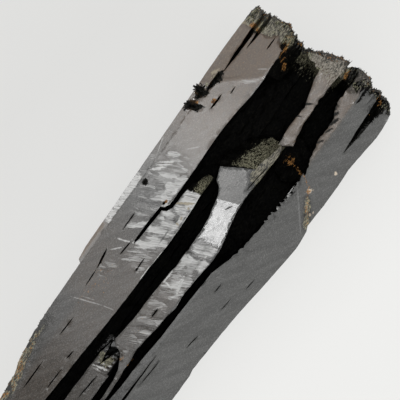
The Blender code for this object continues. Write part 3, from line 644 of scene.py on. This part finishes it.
rust = most_of(rust * (z > 8), 0.42 * seam - 0.1 * low_seam, 0.32 * left_rim * clumps, 0.14 * base,
               0.2 * film * on_front, (0.36 + 0.1 * wobble) * end_rim * ramp(z, 14, 20) * ramp(x, 52, 56))
LEAST_RUST = 0.3             # grains lie where the rust number is higher than this
print("rusty corners:", int((rust > LEAST_RUST).sum()))

# %% [markdown]
# ## Etched relief
# Etching and breaking leave a rough surface, drawn out along the crystal's axis. Each corner is
# moved by a smooth noise, as far as its etched number allows. Silky patches get low diagonal
# ridges, crystal edges are nibbled a little, both ends are drawn out into a comb and the right
# prism's edge is frayed. The flat faces keep their planes otherwise, and the foot stays flat so
# that the crystal still rests on it.

# %% Move the corners
COARSE_RELIEF = 0.26
FINE_RELIEF = 0.13
RAGGED_EDGE = 0.34
NIBBLE = 0.05
END_COMB = 0.30
SILK_RIDGE = 0.07
SILK_LEAN = -26                      # degrees from across the crystal to the silky ridges
STEP_HEIGHT = 0.10                   # of the lines on the small crystal's end
STEP_PERIOD = 1.0
FOOT_TOP = 1.5
COMB_REACH = 0.4
SLOPE_RISE = -SLOPE_Y / SLOPE_Z      # how the right prism's slope climbs towards its edge

coarse_period = (2.4, 0.9, 0.9)
fine_period = (0.9, 0.4, 0.45)
free = ramp(z, 0.1, FOOT_TOP)
move = np.zeros_like(place)
for axis in range(3):
    rough = COARSE_RELIEF * noise_at(place, coarse_period, 10 + axis)
    rough += FINE_RELIEF * noise_at(place, fine_period, 20 + axis)
    move[:, axis] += etched ** 1.5 * free * rough
    move[:, axis] += NIBBLE * edge_chips_and_highlight * free * noise_at(place, (1.3, 0.9, 0.9), 50 + axis)
ends = most_of(ramp(x, 55.5, 57.5), end_faces, 0.7 * base)
move[:, 0] += END_COMB * ends * free * noise_at(place, (9, 0.6, 0.7), 30)
ragged = most_of(span(y, -4.0, -2.2, 0.3) * span(x, 37, 56, 1),
                 span(y, -10.8, -6.4, 0.3) * ramp(x, 10, 16)) * ramp(z, 14, 18)
move[:, 1] += RAGGED_EDGE * ragged * noise_at(place, (0.55, 2.5, 3.5), 40)
ridges = noise_at(place, (1.2, 6.0, 3.0), 60, SILK_LEAN)
move[:, 2] += SILK_RIDGE * silky_sheen * on_front * (1 - edge_chips_and_highlight) * ridges
move[:, 1] += COMB_REACH * comb
move[:, 2] += COMB_REACH * comb * SLOPE_RISE
low = np.array(cad_low) / MM
high = np.array(cad_high) / MM
growth_steps = span(x, -20.6, -15.6, 0.4) * span(y, -2.0, 2.2) * ramp(z, 20, 21)
move[:, 2] += STEP_HEIGHT * growth_steps * np.sin((x + 0.25 * y) * math.tau / STEP_PERIOD)
place = np.clip(place + move, low, high)
print("largest move in mm:", round(float(np.abs(move).max()), 3))

# %% Put the numbers on the skin
mesh.vertices.foreach_set("co", (place * MM).astype(np.float32).ravel())


def add_number(name, values):
    attribute = mesh.attributes.new(name, "FLOAT", "POINT")
    attribute.data.foreach_set("value", np.clip(values, 0, 1).astype(np.float32))


# Where the crest edges get their painted highlight.
edge_highlight_zones = most_of(0.2 * (1 - behind), span(x, -2, 24) * span(y, -5.5, 1.6) * (1 - behind),
               span(x, 12.5, 21) * span(y, 8, 9.6), span(x, -1, 19) * span(y, 3.6, 4.4))
FINISHES = {"etched": etched, "crust": crust, "bleached": bleached, "silky_sheen": silky_sheen, "film": film,
            "rust": rust, "edge_chips_and_highlight": edge_chips_and_highlight * edge_highlight_zones}
for name, values in FINISHES.items():
    add_number(name, values)
black = most_of(black_spots, dark_tips)
dark_faces = sheltered | (black[triangles].mean(axis=1) > 0.5)
mesh.polygons.foreach_set("material_index", dark_faces.astype(np.int32))
mesh.shade_smooth()
mesh.set_sharp_from_angle(angle=math.radians(24))
mesh.update()
crystal = add_object("crystal_skin", mesh)

# %% [markdown]
# ## Shared effects
# Three effects make most of the surface: noise that is drawn out along the crystal's axis, a
# crust that comes in specks, and small plates where the silky patches are etched, whose cover
# also carries the silky patches' painted sheen. Each is built once as a group.


# %% Drawn out noise
def new_group(name, inputs, outputs):
    """An empty shader group with its named sockets. inputs are (name, type, default)."""
    group = bpy.data.node_groups.new(name, "ShaderNodeTree")
    for title, kind, default in inputs:
        socket = group.interface.new_socket(title, in_out="INPUT", socket_type=kind)
        socket.default_value = default
    for title, kind in outputs:
        group.interface.new_socket(title, in_out="OUTPUT", socket_type=kind)
    return group, node(group, "NodeGroupInput").outputs, node(group, "NodeGroupOutput").inputs


FLOAT = "NodeSocketFloat"
COLOUR = "NodeSocketColor"
GRID_INPUTS = [("Along", FLOAT, 2.0), ("Across", FLOAT, 0.4), ("Lean", FLOAT, 0.0),
               ("Seed", FLOAT, 0.0)]


def drawn_out_place(group, ins):
    """Object coordinates turned by Lean and divided by the periods Along and Across, in mm."""
    where = node(group, "ShaderNodeTexCoord").outputs["Object"]
    turned = node(group, "ShaderNodeVectorRotate", {"Vector": where, "Angle": ins["Lean"]},
                  rotation_type="Z_AXIS").outputs[0]
    parts = node(group, "ShaderNodeSeparateXYZ", {0: turned}).outputs
    along = times(group, ins["Along"], MM)
    across = times(group, ins["Across"], MM)
    height = math_node(group, "DIVIDE", parts["Z"], across)
    return node(group, "ShaderNodeCombineXYZ", {
        "X": math_node(group, "DIVIDE", parts["X"], along),
        "Y": math_node(group, "DIVIDE", parts["Y"], across),
        "Z": math_node(group, "ADD", ins["Seed"], height),
    }).outputs[0]


drawn_out, ins, outs = new_group("Drawn out noise", GRID_INPUTS, [("Value", FLOAT)])
grain = node(drawn_out, "ShaderNodeTexNoise",
             {"Vector": drawn_out_place(drawn_out, ins), "Scale": 1.0, "Detail": 3.0, "Roughness": 0.6})
drawn_out.links.new(grain.outputs["Fac"], outs["Value"])


def add_group(tree, group, values):
    """Places a shader group and gives its inputs values or links by name."""
    return node(tree, "ShaderNodeGroup", values, node_tree=group).outputs


def add_noise(tree, along, across, lean=0.0, seed=0.0):
    """Noise with the given periods in mm, drawn out in a direction that leans in degrees."""
    values = {"Along": along, "Across": across, "Lean": math.radians(lean), "Seed": seed}
    return add_group(tree, drawn_out, values)["Value"]


# %% Speckled crust
crusting, ins, outs = new_group(
    "Speckled crust",
    [("Mask", FLOAT, 0.0), ("Under", COLOUR, (0, 0, 0, 1)), ("Deep", COLOUR, (0, 0, 0, 1)),
     ("Pale", COLOUR, (1, 1, 1, 1)), *GRID_INPUTS],
    [("Colour", COLOUR), ("Cover", FLOAT)],
)
speck = add_group(crusting, drawn_out, {title: ins[title] for title in ("Along", "Across", "Seed")})
speck = speck["Value"]
cover = remap(crusting, math_node(crusting, "ADD", ins["Mask"], speck), 0.88, 0.97)
cover = times(crusting, cover, remap(crusting, ins["Mask"], 0.02, 0.12))
tone = two_tones(crusting, speck, 0.43, 0.61, ins["Deep"], ins["Pale"])
crusting.links.new(mix_colour(crusting, cover, ins["Under"], tone), outs["Colour"])
crusting.links.new(cover, outs["Cover"])


def add_crust(tree, mask, under, deep, pale, along, across, seed):
    """Covers a colour with specks where the mask says so: returns the colour and the cover."""
    made = add_group(tree, crusting, {"Mask": mask, "Under": under, "Deep": deep, "Pale": pale,
                                      "Along": along, "Across": across, "Seed": seed})
    return made["Colour"], made["Cover"]


# %% Etched plates
# Cover says where the silky patches are painted pale as their sheen; Height is their relief.
plating, ins, outs = new_group("Etched plates", [("Mask", FLOAT, 0.0), *GRID_INPUTS],
                               [("Cover", FLOAT), ("Height", FLOAT)])
grid = drawn_out_place(plating, ins)
bent = node(plating, "ShaderNodeTexNoise", {"Vector": grid, "Scale": 0.7, "Detail": 1.0})
shift = node(plating, "ShaderNodeVectorMath", {0: bent.outputs["Color"], "Scale": 0.8}, operation="SCALE")
bent_grid = vector_node(plating, "ADD", grid, shift.outputs[0])
cells = node(plating, "ShaderNodeTexVoronoi", {"Vector": bent_grid, "Scale": 1.0})
plate = node(plating, "ShaderNodeSeparateColor", {0: cells.outputs["Color"]}).outputs[0]
streak = node(plating, "ShaderNodeTexNoise", {
    "Vector": vector_node(plating, "MULTIPLY", bent_grid, (4.0, 0.8, 1.0)), "Scale": 1.0, "Detail": 2.0,
}).outputs["Fac"]
fold = node(plating, "ShaderNodeTexNoise", {
    "Vector": vector_node(plating, "MULTIPLY", bent_grid, (1.2, 0.5, 1.0)), "Scale": 1.0, "Detail": 1.0,
}).outputs["Fac"]
off_crest = math_node(plating, "ABSOLUTE", math_node(plating, "SUBTRACT", fold, 0.5))
crest = remap(plating, off_crest, 0.02, 0.07, 1.0, 0.0)
share = math_node(plating, "ADD", ins["Mask"], remap(plating, plate, 0, 1, -0.30, 0.30))
share = math_node(plating, "ADD", share, remap(plating, streak, 0.3, 0.7, -0.12, 0.12))
cover = remap(plating, share, 0.42, 0.50)
cover = times(plating, cover, remap(plating, plate, 0, 1, 0.35, 1.0),
              remap(plating, streak, 0.40, 0.60, 0.5, 1.3))
crest = times(plating, crest, remap(plating, ins["Mask"], 0.3, 0.8, 0.0, 1.0))
cover = math_node(plating, "MAXIMUM", cover, crest)
cover = times(plating, cover, remap(plating, ins["Mask"], 0.04, 0.9, 0.12, 1.0),
              remap(plating, ins["Mask"], 0.02, 0.06))
core = times(plating, remap(plating, share, 0.36, 0.88),
             remap(plating, streak, 0.36, 0.60, 0.58, 1.0))
cover = math_node(plating, "MAXIMUM", cover, core)
plating.links.new(cover, outs["Cover"])
rise = math_node(plating, "ADD", times(plating, plate, 0.6), streak)
rise = math_node(plating, "SUBTRACT", math_node(plating, "ADD", rise, crest), 1.0)
plating.links.new(rise, outs["Height"])
print("groups:", [group.name for group in bpy.data.node_groups])

# %% [markdown]
# Single bright scratches and edges of etching are finer than the skin's cells, so the shader
# measures how far a place is from each one. Their pale colour is partly a painted highlight on
# the crests of the etched folds. Dark nicks are drawn in the same way.

# %% Scratches
LOWEST_LINE = 13.5 * MM


def line_ground(tree):
    """What all lines need: the place from above in mm, an uneven number and a limit of height."""
    where = node(tree, "ShaderNodeTexCoord").outputs["Object"]
    flat = vector_node(tree, "MULTIPLY", where, (1 / MM, 1 / MM, 0))
    shake = node(tree, "ShaderNodeTexNoise", {"Vector": flat, "Scale": 1.6, "Detail": 3.0})
    shake = remap(tree, shake.outputs["Fac"], 0.35, 0.65, -0.35, 0.35)
    height = node(tree, "ShaderNodeSeparateXYZ", {0: where}).outputs["Z"]
    return flat, shake, remap(tree, height, LOWEST_LINE, LOWEST_LINE + MM)


def add_lines(tree, ground, lines):
    """The strongest of several slender ovals: each is start, stop, half width and strength."""
    flat, shake, high_up = ground
    total = 0.0
    for start, stop, half_width, strength in lines:
        run = Vector(stop) - Vector(start)
        middle = (Vector(start) + Vector(stop)) / 2
        oval = node(tree, "ShaderNodeMapping", {
            "Vector": flat, "Location": (*middle, 0),
            "Rotation": (0, 0, math.atan2(run.y, run.x)),
            "Scale": (run.length / 2 + half_width, half_width * 1.15, 1),
        }, vector_type="TEXTURE")
        gap = vector_node(tree, "LENGTH", oval.outputs[0], output="Value")
        value = remap(tree, math_node(tree, "ADD", gap, shake), 0.6, 1.2, strength, 0)
        total = math_node(tree, "MAXIMUM", value, total)
    return times(tree, total, high_up)


BRIGHT_LINES = [                     # start, stop, half width and strength
    ((20.3, 14.7), (22.3, 12.1), 0.17, 0.9), ((19.5, 14.9), (21.3, 12.5), 0.17, 0.9),
    ((18.7, 14.9), (20.3, 13.1), 0.17, 0.9), ((18.1, 15.3), (19.5, 13.5), 0.17, 0.8),
    ((25.3, 12.1), (27.5, 10.1), 0.12, 0.3), ((46.9, 9.7), (48.1, 8.1), 0.12, 0.3),
    ((4.3, 9.3), (6.3, 5.7), 0.24, 1.0), ((3.3, 9.3), (5.3, 6.1), 0.14, 0.6),
    ((2.3, 9.3), (3.7, 6.9), 0.14, 0.5), ((3.0, 12.7), (3.9, 10.1), 0.16, 0.7),
    ((0.3, 12.5), (2.3, 10.7), 0.14, 0.6), ((0.1, 9.7), (1.1, 7.9), 0.2, 0.5),
    ((-11.5, 12.5), (-9.6, 7.3), 0.11, 0.42), ((-9.6, 7.3), (-8.9, 4.5), 0.09, 0.32),
    ((-10.5, 11.7), (-9.7, 9.3), 0.09, 0.3), ((1.7, -0.1), (1.2, -1.9), 0.18, 0.9),
    ((1.2, -1.9), (4.3, -2.7), 0.2, 0.8), ((4.3, -2.7), (0.7, -3.5), 0.25, 0.8),
    ((0.5, -3.5), (1.7, -4.7), 0.16, 0.6), ((4.5, -0.0), (1.1, -0.0), 0.2, 0.8),
    ((-4.1, -1.7), (-2.5, -2.7), 0.18, 0.4), ((32.3, -10.7), (25.1, -17.1), 0.16, 0.12),
    ((24.5, 17.1), (21.1, 16.1), 0.1, 0.3),
]
DARK_LINES = [
    ((-13.1, 2.9), (-13.9, 1.1), 0.35, 0.9), ((8.5, -0.5), (9.1, -0.3), 0.14, 0.5),
    ((46.3, -1.3), (47.7, -3.1), 0.22, 1.0), ((43.5, -1.3), (44.3, -2.7), 0.18, 0.9),
    ((45.1, -1.3), (45.7, -2.3), 0.15, 0.8), ((47.7, -6.9), (50.5, -7.3), 0.45, 1.0),
    ((46.9, -7.5), (49.5, -8.3), 0.42, 1.0), ((45.9, -8.1), (48.3, -9.1), 0.34, 1.0),
    ((44.5, -8.5), (46.3, -9.3), 0.2, 0.9), ((41.9, -8.5), (43.3, -9.3), 0.2, 0.9),
    ((21.5, -2.1), (20.5, -1.5), 0.14, 0.5), ((8.9, -0.3), (8.8, -3.3), 0.12, 0.5),
    ((10.3, 5.3), (7.1, 5.3), 0.14, 0.6), ((40.9, 14.7), (43.7, 11.7), 0.12, 0.18),
    ((30.5, -10.5), (31.5, -10.7), 0.2, 0.9), ((32.3, -13.5), (29.1, -16.5), 0.3, 0.7),
    ((29.7, -14.7), (27.1, -16.7), 0.3, 0.7), ((34.5, -9.9), (32.9, -10.7), 0.3, 0.5),
]
CREAM_LINES = [                      # specks of pale quartz
    ((33.6, -13.2), (33.3, -13.0), 0.42, 1.0), ((39.6, -15.4), (39.4, -15.4), 0.3, 1.0),
    ((30.5, -14.6), (30.3, -14.8), 0.26, 0.8), ((29.7, -16.0), (29.5, -16.2), 0.2, 0.7),
    ((28.5, -16.3), (28.3, -16.5), 0.22, 0.8), ((31.9, -13.9), (31.7, -14.1), 0.14, 0.6),
    ((30.5, -16.3), (30.1, -16.5), 0.16, 0.6), ((14.7, 9.1), (14.1, 9.1), 0.12, 0.3),
]
TAN_LINES = [
    ((52.7, 18.0), (53.1, 16.5), 0.3, 0.8), ((40.9, 16.7), (42.1, 16.1), 0.3, 0.8),
    ((16.3, 4.7), (16.1, 4.7), 0.2, 0.9), ((13.9, 4.7), (13.5, 4.6), 0.2, 0.8),
    ((12.3, 4.9), (12.3, 4.3), 0.2, 0.8), ((15.7, 7.1), (17.7, 4.1), 0.24, 0.85),
]

# %% [markdown]
# ## The crystal's finish
# Aegirine is nearly black, so nearly all of its brightness is mirrored. The base colour stays
# very dark over most of it, and the roughness and the relief do the work. Silky patches scatter
# more light and are painted a pale white for their sheen, bright lines and crest edges get painted
# highlights, and crusts have a colour of their own.

# %% Aegirine material
GLASSY = (0.012, 0.012, 0.010, 1)
FILM = (0.105, 0.060, 0.026, 1)
# A pale white that paints the silky patches' sheen, the bright lines' highlights and pale specks.
SILKY_SHEEN_WHITE = (0.86, 0.86, 0.85, 1)
DULL = (0.006, 0.006, 0.005, 1)
GREEN_DEEP = (0.026, 0.025, 0.016, 1)
GREEN_PALE = (0.46, 0.44, 0.31, 1)
WARM_DEEP = (0.16, 0.145, 0.12, 1)
WARM_PALE = (0.50, 0.46, 0.39, 1)
RUST_DEEP = (0.05, 0.018, 0.007, 1)
RUST_PALE = (0.62, 0.31, 0.10, 1)
EDGE_LIGHT = (0.75, 0.75, 0.73, 1)
BROWN_SPECK = (0.42, 0.30, 0.20, 1)
CREAM = (0.80, 0.66, 0.50, 1)
TAN = (0.42, 0.35, 0.22, 1)
AEGIRINE_IOR = 1.78

aegirine, tree, shader = new_material("aegirine_faces")


def number_of(tree, name):
    return node(tree, "ShaderNodeAttribute", attribute_name=name).outputs["Fac"]


etched_mask = number_of(tree, "etched")
silky_sheen_mask = number_of(tree, "silky_sheen")
striae = add_noise(tree, 14.0, 0.22, seed=1.0)
faint = add_noise(tree, 1.4, 0.7, seed=2.0)
grit = add_noise(tree, 0.35, 0.25, seed=3.0)
bands = add_noise(tree, 1.0, 9.0, -59.0, seed=6.0)
plates = add_group(tree, plating, {"Mask": silky_sheen_mask, "Along": 0.9, "Across": 2.6,
                                   "Lean": math.radians(SILK_LEAN), "Seed": 4.0})
silky_sheen_cover, plate_height = plates["Cover"], plates["Height"]
film_mask = number_of(tree, "film")
film_cover = times(tree, film_mask, remap(tree, faint, 0.25, 0.7, 0.65, 1.25))
colour = mix_colour(tree, film_cover, GLASSY, FILM)
ground = line_ground(tree)
speck_tone = mix_colour(tree, film_cover, SILKY_SHEEN_WHITE, BROWN_SPECK)
colour = mix_colour(tree, remap(tree, bands, 0.4, 0.65, 0.0, 0.05), colour, speck_tone)
specks = times(tree, remap(tree, grit, 0.5, 0.68), remap(tree, film_cover, 0, 1, 0.11, 0.26))
colour = mix_colour(tree, specks, colour, speck_tone)
# The silky patches' pale white, partly a painted sheen.
colour = mix_colour(tree, silky_sheen_cover, colour, SILKY_SHEEN_WHITE)
# Bright lines: pale scratches that are partly painted highlights on crests.
colour = mix_colour(tree, add_lines(tree, ground, BRIGHT_LINES), colour, SILKY_SHEEN_WHITE)
colour = mix_colour(tree, add_lines(tree, ground, TAN_LINES), colour, TAN)
cream = add_lines(tree, ground, CREAM_LINES)
dark_nicks = add_lines(tree, ground, DARK_LINES)
# A painted highlight: a pale colour in broken lines along the crest edges.
edge_highlight = times(tree, number_of(tree, "edge_chips_and_highlight"), remap(tree, grit, 0.3, 0.55, 0.5, 1))
edge_highlight = remap(tree, edge_highlight, 0.25, 0.55)
colour = mix_colour(tree, edge_highlight, colour, EDGE_LIGHT)
# Etched places go dull black; beside the recesses this is also painted shade.
colour = mix_colour(tree, times(tree, etched_mask, 0.9), colour, DULL)
colour = mix_colour(tree, dark_nicks, colour, DULL)
colour = mix_colour(tree, cream, colour, CREAM)
pale = mix_colour(tree, number_of(tree, "bleached"), GREEN_PALE, WARM_PALE)
deep = mix_colour(tree, number_of(tree, "bleached"), GREEN_DEEP, WARM_DEEP)
colour, crust_cover = add_crust(tree, number_of(tree, "crust"), colour, deep, pale, 0.75, 0.24, 8.0)
colour, rust_cover = add_crust(tree, number_of(tree, "rust"), colour, RUST_DEEP, RUST_PALE,
                               0.4, 0.22, 7.0)

# %% Aegirine gloss and relief
roughness = remap(tree, faint, 0.3, 0.7, 0.08, 0.13)
roughness = mix_value(tree, remap(tree, film_mask, 0.78, 0.98), roughness, 0.32)
roughness = mix_value(tree, silky_sheen_cover, roughness, 0.36)
roughness = mix_value(tree, etched_mask, roughness, 0.55)
roughness = mix_value(tree, dark_nicks, roughness, 0.9)
for cover in (crust_cover, rust_cover):
    roughness = mix_value(tree, cover, roughness, 0.85)


def add_relief(tree, *layers):
    """A bump from (noise, mask or None, height in mm) layers."""
    total = None
    for value, mask, depth in layers:
        value = times(tree, value, depth)
        if mask is not None:
            value = times(tree, value, mask)
        total = value if total is None else math_node(tree, "ADD", total, value)
    return node(tree, "ShaderNodeBump", {"Height": total, "Strength": 1.0, "Distance": MM})


bump = add_relief(tree, (striae, None, 0.0025), (grit, None, 0.0025), (bands, None, 0.003),
                  (plate_height, silky_sheen_mask, 0.05), (grit, etched_mask, 0.14))
fill(tree, shader.inputs, {"Base Color": colour, "Roughness": roughness,
                           "Normal": bump.outputs["Normal"], "IOR": AEGIRINE_IOR})
mesh.materials.append(aegirine)

# %% [markdown]
# ## Groove walls
# The walls and floors between the individuals are etched matt, and they are painted a near black
# that is partly their own colour and partly the shade that fills the deep grooves. They get their
# own material with a weaker mirror, and their specks of crust are sparse.

# %% Groove wall material
# Near-black tones of the groove walls, partly painted shade.
WALL_DARK = (0.0012, 0.0012, 0.001, 1)
WALL_PALE = (0.013, 0.012, 0.009, 1)

groove, tree, shader = new_material("groove_walls")
wall_grit = add_noise(tree, 0.6, 0.28, seed=9.0)
wall_tone = two_tones(tree, wall_grit, 0.5, 0.7, WALL_DARK, WALL_PALE)
colour, crust_cover = add_crust(tree, number_of(tree, "crust"), wall_tone, GREEN_DEEP, GREEN_PALE,
                                0.6, 0.22, 8.5)
colour, rust_cover = add_crust(tree, number_of(tree, "rust"), colour, RUST_DEEP, RUST_PALE,
                               0.6, 0.2, 7.5)
roughness = mix_value(tree, crust_cover, 0.42, 0.7)
bump = add_relief(tree, (wall_grit, None, 0.12), (add_noise(tree, 2.4, 0.5, seed=10.0), None, 0.2))
fill(tree, shader.inputs, {
    "Base Color": colour, "Roughness": roughness, "Normal": bump.outputs["Normal"],
    "IOR": AEGIRINE_IOR, "Specular IOR Level": 0.03,
})
mesh.materials.append(groove)

# %% [markdown]
# ## Blades on the etched ends
# Etching cuts the end of a pyroxene into thousands of tiny blades that all point along its axis,
# and small black crystals have settled in the pits of the front. Geometry Nodes scatter both
# over the skin, thickest where a number says so.


# %% Scatter tree
def scatter_tree(name, seed, shape, material, turn_low, turn_high):
    """A tree that sets small shapes on a mesh, thickest where its number called name is high."""
    group = bpy.data.node_groups.new(name, "GeometryNodeTree")
    group.interface.new_socket("Geometry", in_out="INPUT", socket_type="NodeSocketGeometry")
    for title, default in (("Density", 1.0), ("Smallest", 0.5), ("Largest", 1.5)):
        socket = group.interface.new_socket(title, in_out="INPUT", socket_type=FLOAT)
        socket.default_value = default
    group.interface.new_socket("Geometry", in_out="OUTPUT", socket_type="NodeSocketGeometry")
    ins = node(group, "NodeGroupInput").outputs
    share = node(group, "GeometryNodeInputNamedAttribute", {"Name": name}, data_type="FLOAT")
    density = times(group, share.outputs[0], ins["Density"])
    points = node(group, "GeometryNodeDistributePointsOnFaces",
                  {"Mesh": ins["Geometry"], "Density": density, "Seed": seed})
    size = node(group, "FunctionNodeRandomValue", {2: ins["Smallest"], 3: ins["Largest"]},
                data_type="FLOAT")
    turn = node(group, "FunctionNodeRandomValue", {0: turn_low, 1: turn_high},
                data_type="FLOAT_VECTOR")
    stretch = node(group, "FunctionNodeRandomValue", {0: (0.6, 0.6, 0.6), 1: (1.4, 1.4, 1.4)},
                   data_type="FLOAT_VECTOR")
    for step, random_value in enumerate((size, turn, stretch)):
        random_value.inputs["Seed"].default_value = seed + step
    scale = node(group, "ShaderNodeVectorMath",
                 {0: stretch.outputs[0], "Scale": size.outputs[1]}, operation="SCALE")
    placed = node(group, "GeometryNodeInstanceOnPoints", {
        "Points": points.outputs["Points"], "Instance": shape(group),
        "Rotation": turn.outputs[0], "Scale": scale.outputs[0],
    })
    real = node(group, "GeometryNodeRealizeInstances", {0: placed.outputs[0]})
    finished = node(group, "GeometryNodeSetMaterial",
                    {"Geometry": real.outputs[0], "Material": material})
    node(group, "NodeGroupOutput", {0: finished.outputs[0]})
    return group


SCATTER_NUMBERS = ("blades", "spots", "grains")


def scattered(name, group, density, smallest, largest):
    """Runs a scatter tree on the skin and returns what it made as a plain mesh object."""
    source = add_object(name + "_source", mesh)
    modifier = source.modifiers.new(name, "NODES")
    modifier.node_group = group
    values = {"Density": density, "Smallest": smallest, "Largest": largest}
    for item in group.interface.items_tree:
        if item.name in values:
            modifier[item.identifier] = values[item.name]
    graph = bpy.context.evaluated_depsgraph_get()
    made = bpy.data.meshes.new_from_object(source.evaluated_get(graph), depsgraph=graph)
    source.modifiers.clear()
    bpy.data.objects.remove(source)
    made.name = name
    material = made.materials[-1]
    made.materials.clear()
    made.materials.append(material)
    for title in (*FINISHES, *SCATTER_NUMBERS):
        if title in made.attributes:      # copied from the skin, and not used on small shapes
            made.attributes.remove(made.attributes[title])
    print(name + ":", len(made.polygons), "faces")
    return add_object(name, made)


# %% Blade material
BLADE_DARK = (0.008, 0.008, 0.006, 1)
BLADE_PALE = (0.16, 0.155, 0.10, 1)

blade_skin, tree, shader = new_material("etched_blades")
blade_grit = add_noise(tree, 1.2, 0.3, seed=11.0)
blade_tone = two_tones(tree, blade_grit, 0.48, 0.72, BLADE_DARK, BLADE_PALE)
blade_rust = remap(tree, add_noise(tree, 1.5, 1.2, seed=12.0), 0.52, 0.64, 0.0, 0.4)
colour, rust_cover = add_crust(tree, blade_rust, blade_tone, RUST_DEEP, RUST_PALE, 0.5, 0.3, 13.0)
fill(tree, shader.inputs, {"Base Color": colour, "IOR": AEGIRINE_IOR,
                           "Roughness": mix_value(tree, rust_cover, 0.45, 0.85)})

# %% Blades of the ends
BLADE_LENGTH = 0.55 * MM
BLADE_RADIUS = 0.10 * MM
BLADES_PER_M2 = 4.5e6


def blade(group, length, radius):
    """A six-sided blade, thinner at its far end, lying along the crystal's axis."""
    cone = node(group, "GeometryNodeMeshCone", {
        "Vertices": 6, "Radius Top": radius * 0.4, "Radius Bottom": radius, "Depth": length,
    })
    laid = node(group, "GeometryNodeTransform", {
        "Geometry": cone.outputs["Mesh"], "Rotation": Euler((0, math.pi / 2, 0)),
        "Translation": (-length / 2, 0, 0),
    })
    return laid.outputs[0]


blade_share = most_of(end_faces, 0.8 * tip * ramp(x, tip_reach + 1.6, tip_reach + 3), 0.5 * base,
                      0.35 * left_rim)
add_number("blades", blade_share * ramp(z, 3, 6))
blade_tree = scatter_tree("blades", 3, lambda group: blade(group, BLADE_LENGTH, BLADE_RADIUS),
                          blade_skin, (-math.pi, -0.25, -0.25), (math.pi, 0.25, 0.25))
blades = scattered("end_blades", blade_tree, BLADES_PER_M2, 0.6, 1.5)

# %% Small black crystals in the pits
SPOT_DARK = (0.004, 0.004, 0.003, 1)
SPOT_PALE = (0.03, 0.03, 0.022, 1)
PIT_CRYSTAL_LENGTH = 1.1 * MM
PIT_CRYSTAL_RADIUS = 0.15 * MM
PIT_CRYSTALS_PER_M2 = 8e6

spot_skin, tree, shader = new_material("black_crystals")
spot_grit = add_noise(tree, 0.5, 0.3, seed=14.0)
spot_tone = two_tones(tree, spot_grit, 0.5, 0.7, SPOT_DARK, SPOT_PALE)
fill(tree, shader.inputs, {
    "Base Color": spot_tone, "Roughness": remap(tree, spot_grit, 0.3, 0.7, 0.25, 0.5),
    "IOR": AEGIRINE_IOR, "Specular IOR Level": 0.1,
})

add_number("spots", black_spots)
spot_tree = scatter_tree("spots", 5, lambda group: blade(group, PIT_CRYSTAL_LENGTH, PIT_CRYSTAL_RADIUS),
                         spot_skin, (-math.pi, -0.5, -math.pi), (math.pi, 0.5, math.pi))
spots = scattered("pit_crystals", spot_tree, PIT_CRYSTALS_PER_M2, 0.5, 1.3)

# %% [markdown]
# ## Limonite grains
# Iron-rich water has left rusty crusts in cracks and along seams. They are small rounded grains,
# scattered by the same rust number that colours the skin.

# %% Grains
GRAIN_DARK = (0.04, 0.014, 0.005, 1)
GRAIN_PALE = (0.60, 0.32, 0.12, 1)
GRAIN_RADIUS = 0.11 * MM
GRAINS_PER_M2 = 1.2e6

limonite, tree, shader = new_material("limonite")
crust_grain = add_noise(tree, 0.3, 0.25, seed=21.0)
crust_tone = two_tones(tree, crust_grain, 0.42, 0.60, GRAIN_DARK, GRAIN_PALE)
fill(tree, shader.inputs, {"Base Color": crust_tone,
                           "Roughness": remap(tree, crust_grain, 0.3, 0.7, 0.75, 0.95)})


def grain_shape(group):
    ball = node(group, "GeometryNodeMeshIcoSphere", {"Radius": GRAIN_RADIUS, "Subdivisions": 1})
    return ball.outputs["Mesh"]


add_number("grains", np.where(rust > LEAST_RUST, rust, 0))
grain_tree = scatter_tree("grains", 8, grain_shape, limonite, (-3, -3, -3), (3, 3, 3))
grains = scattered("limonite_grains", grain_tree, GRAINS_PER_M2, 0.5, 1.4)

# %% [markdown]
# ## Into the frame
# Every piece rides on the crystal's one body, and the skin stands for the plain solid.

# %% Finish
for name in SCATTER_NUMBERS:
    mesh.attributes.remove(mesh.attributes[name])
for piece in (crystal, blades, spots, grains):
    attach(piece, "root")
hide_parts(NODE)
low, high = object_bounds()
print("visual box in mm:", [round(side / MM, 2) for side in high - low])
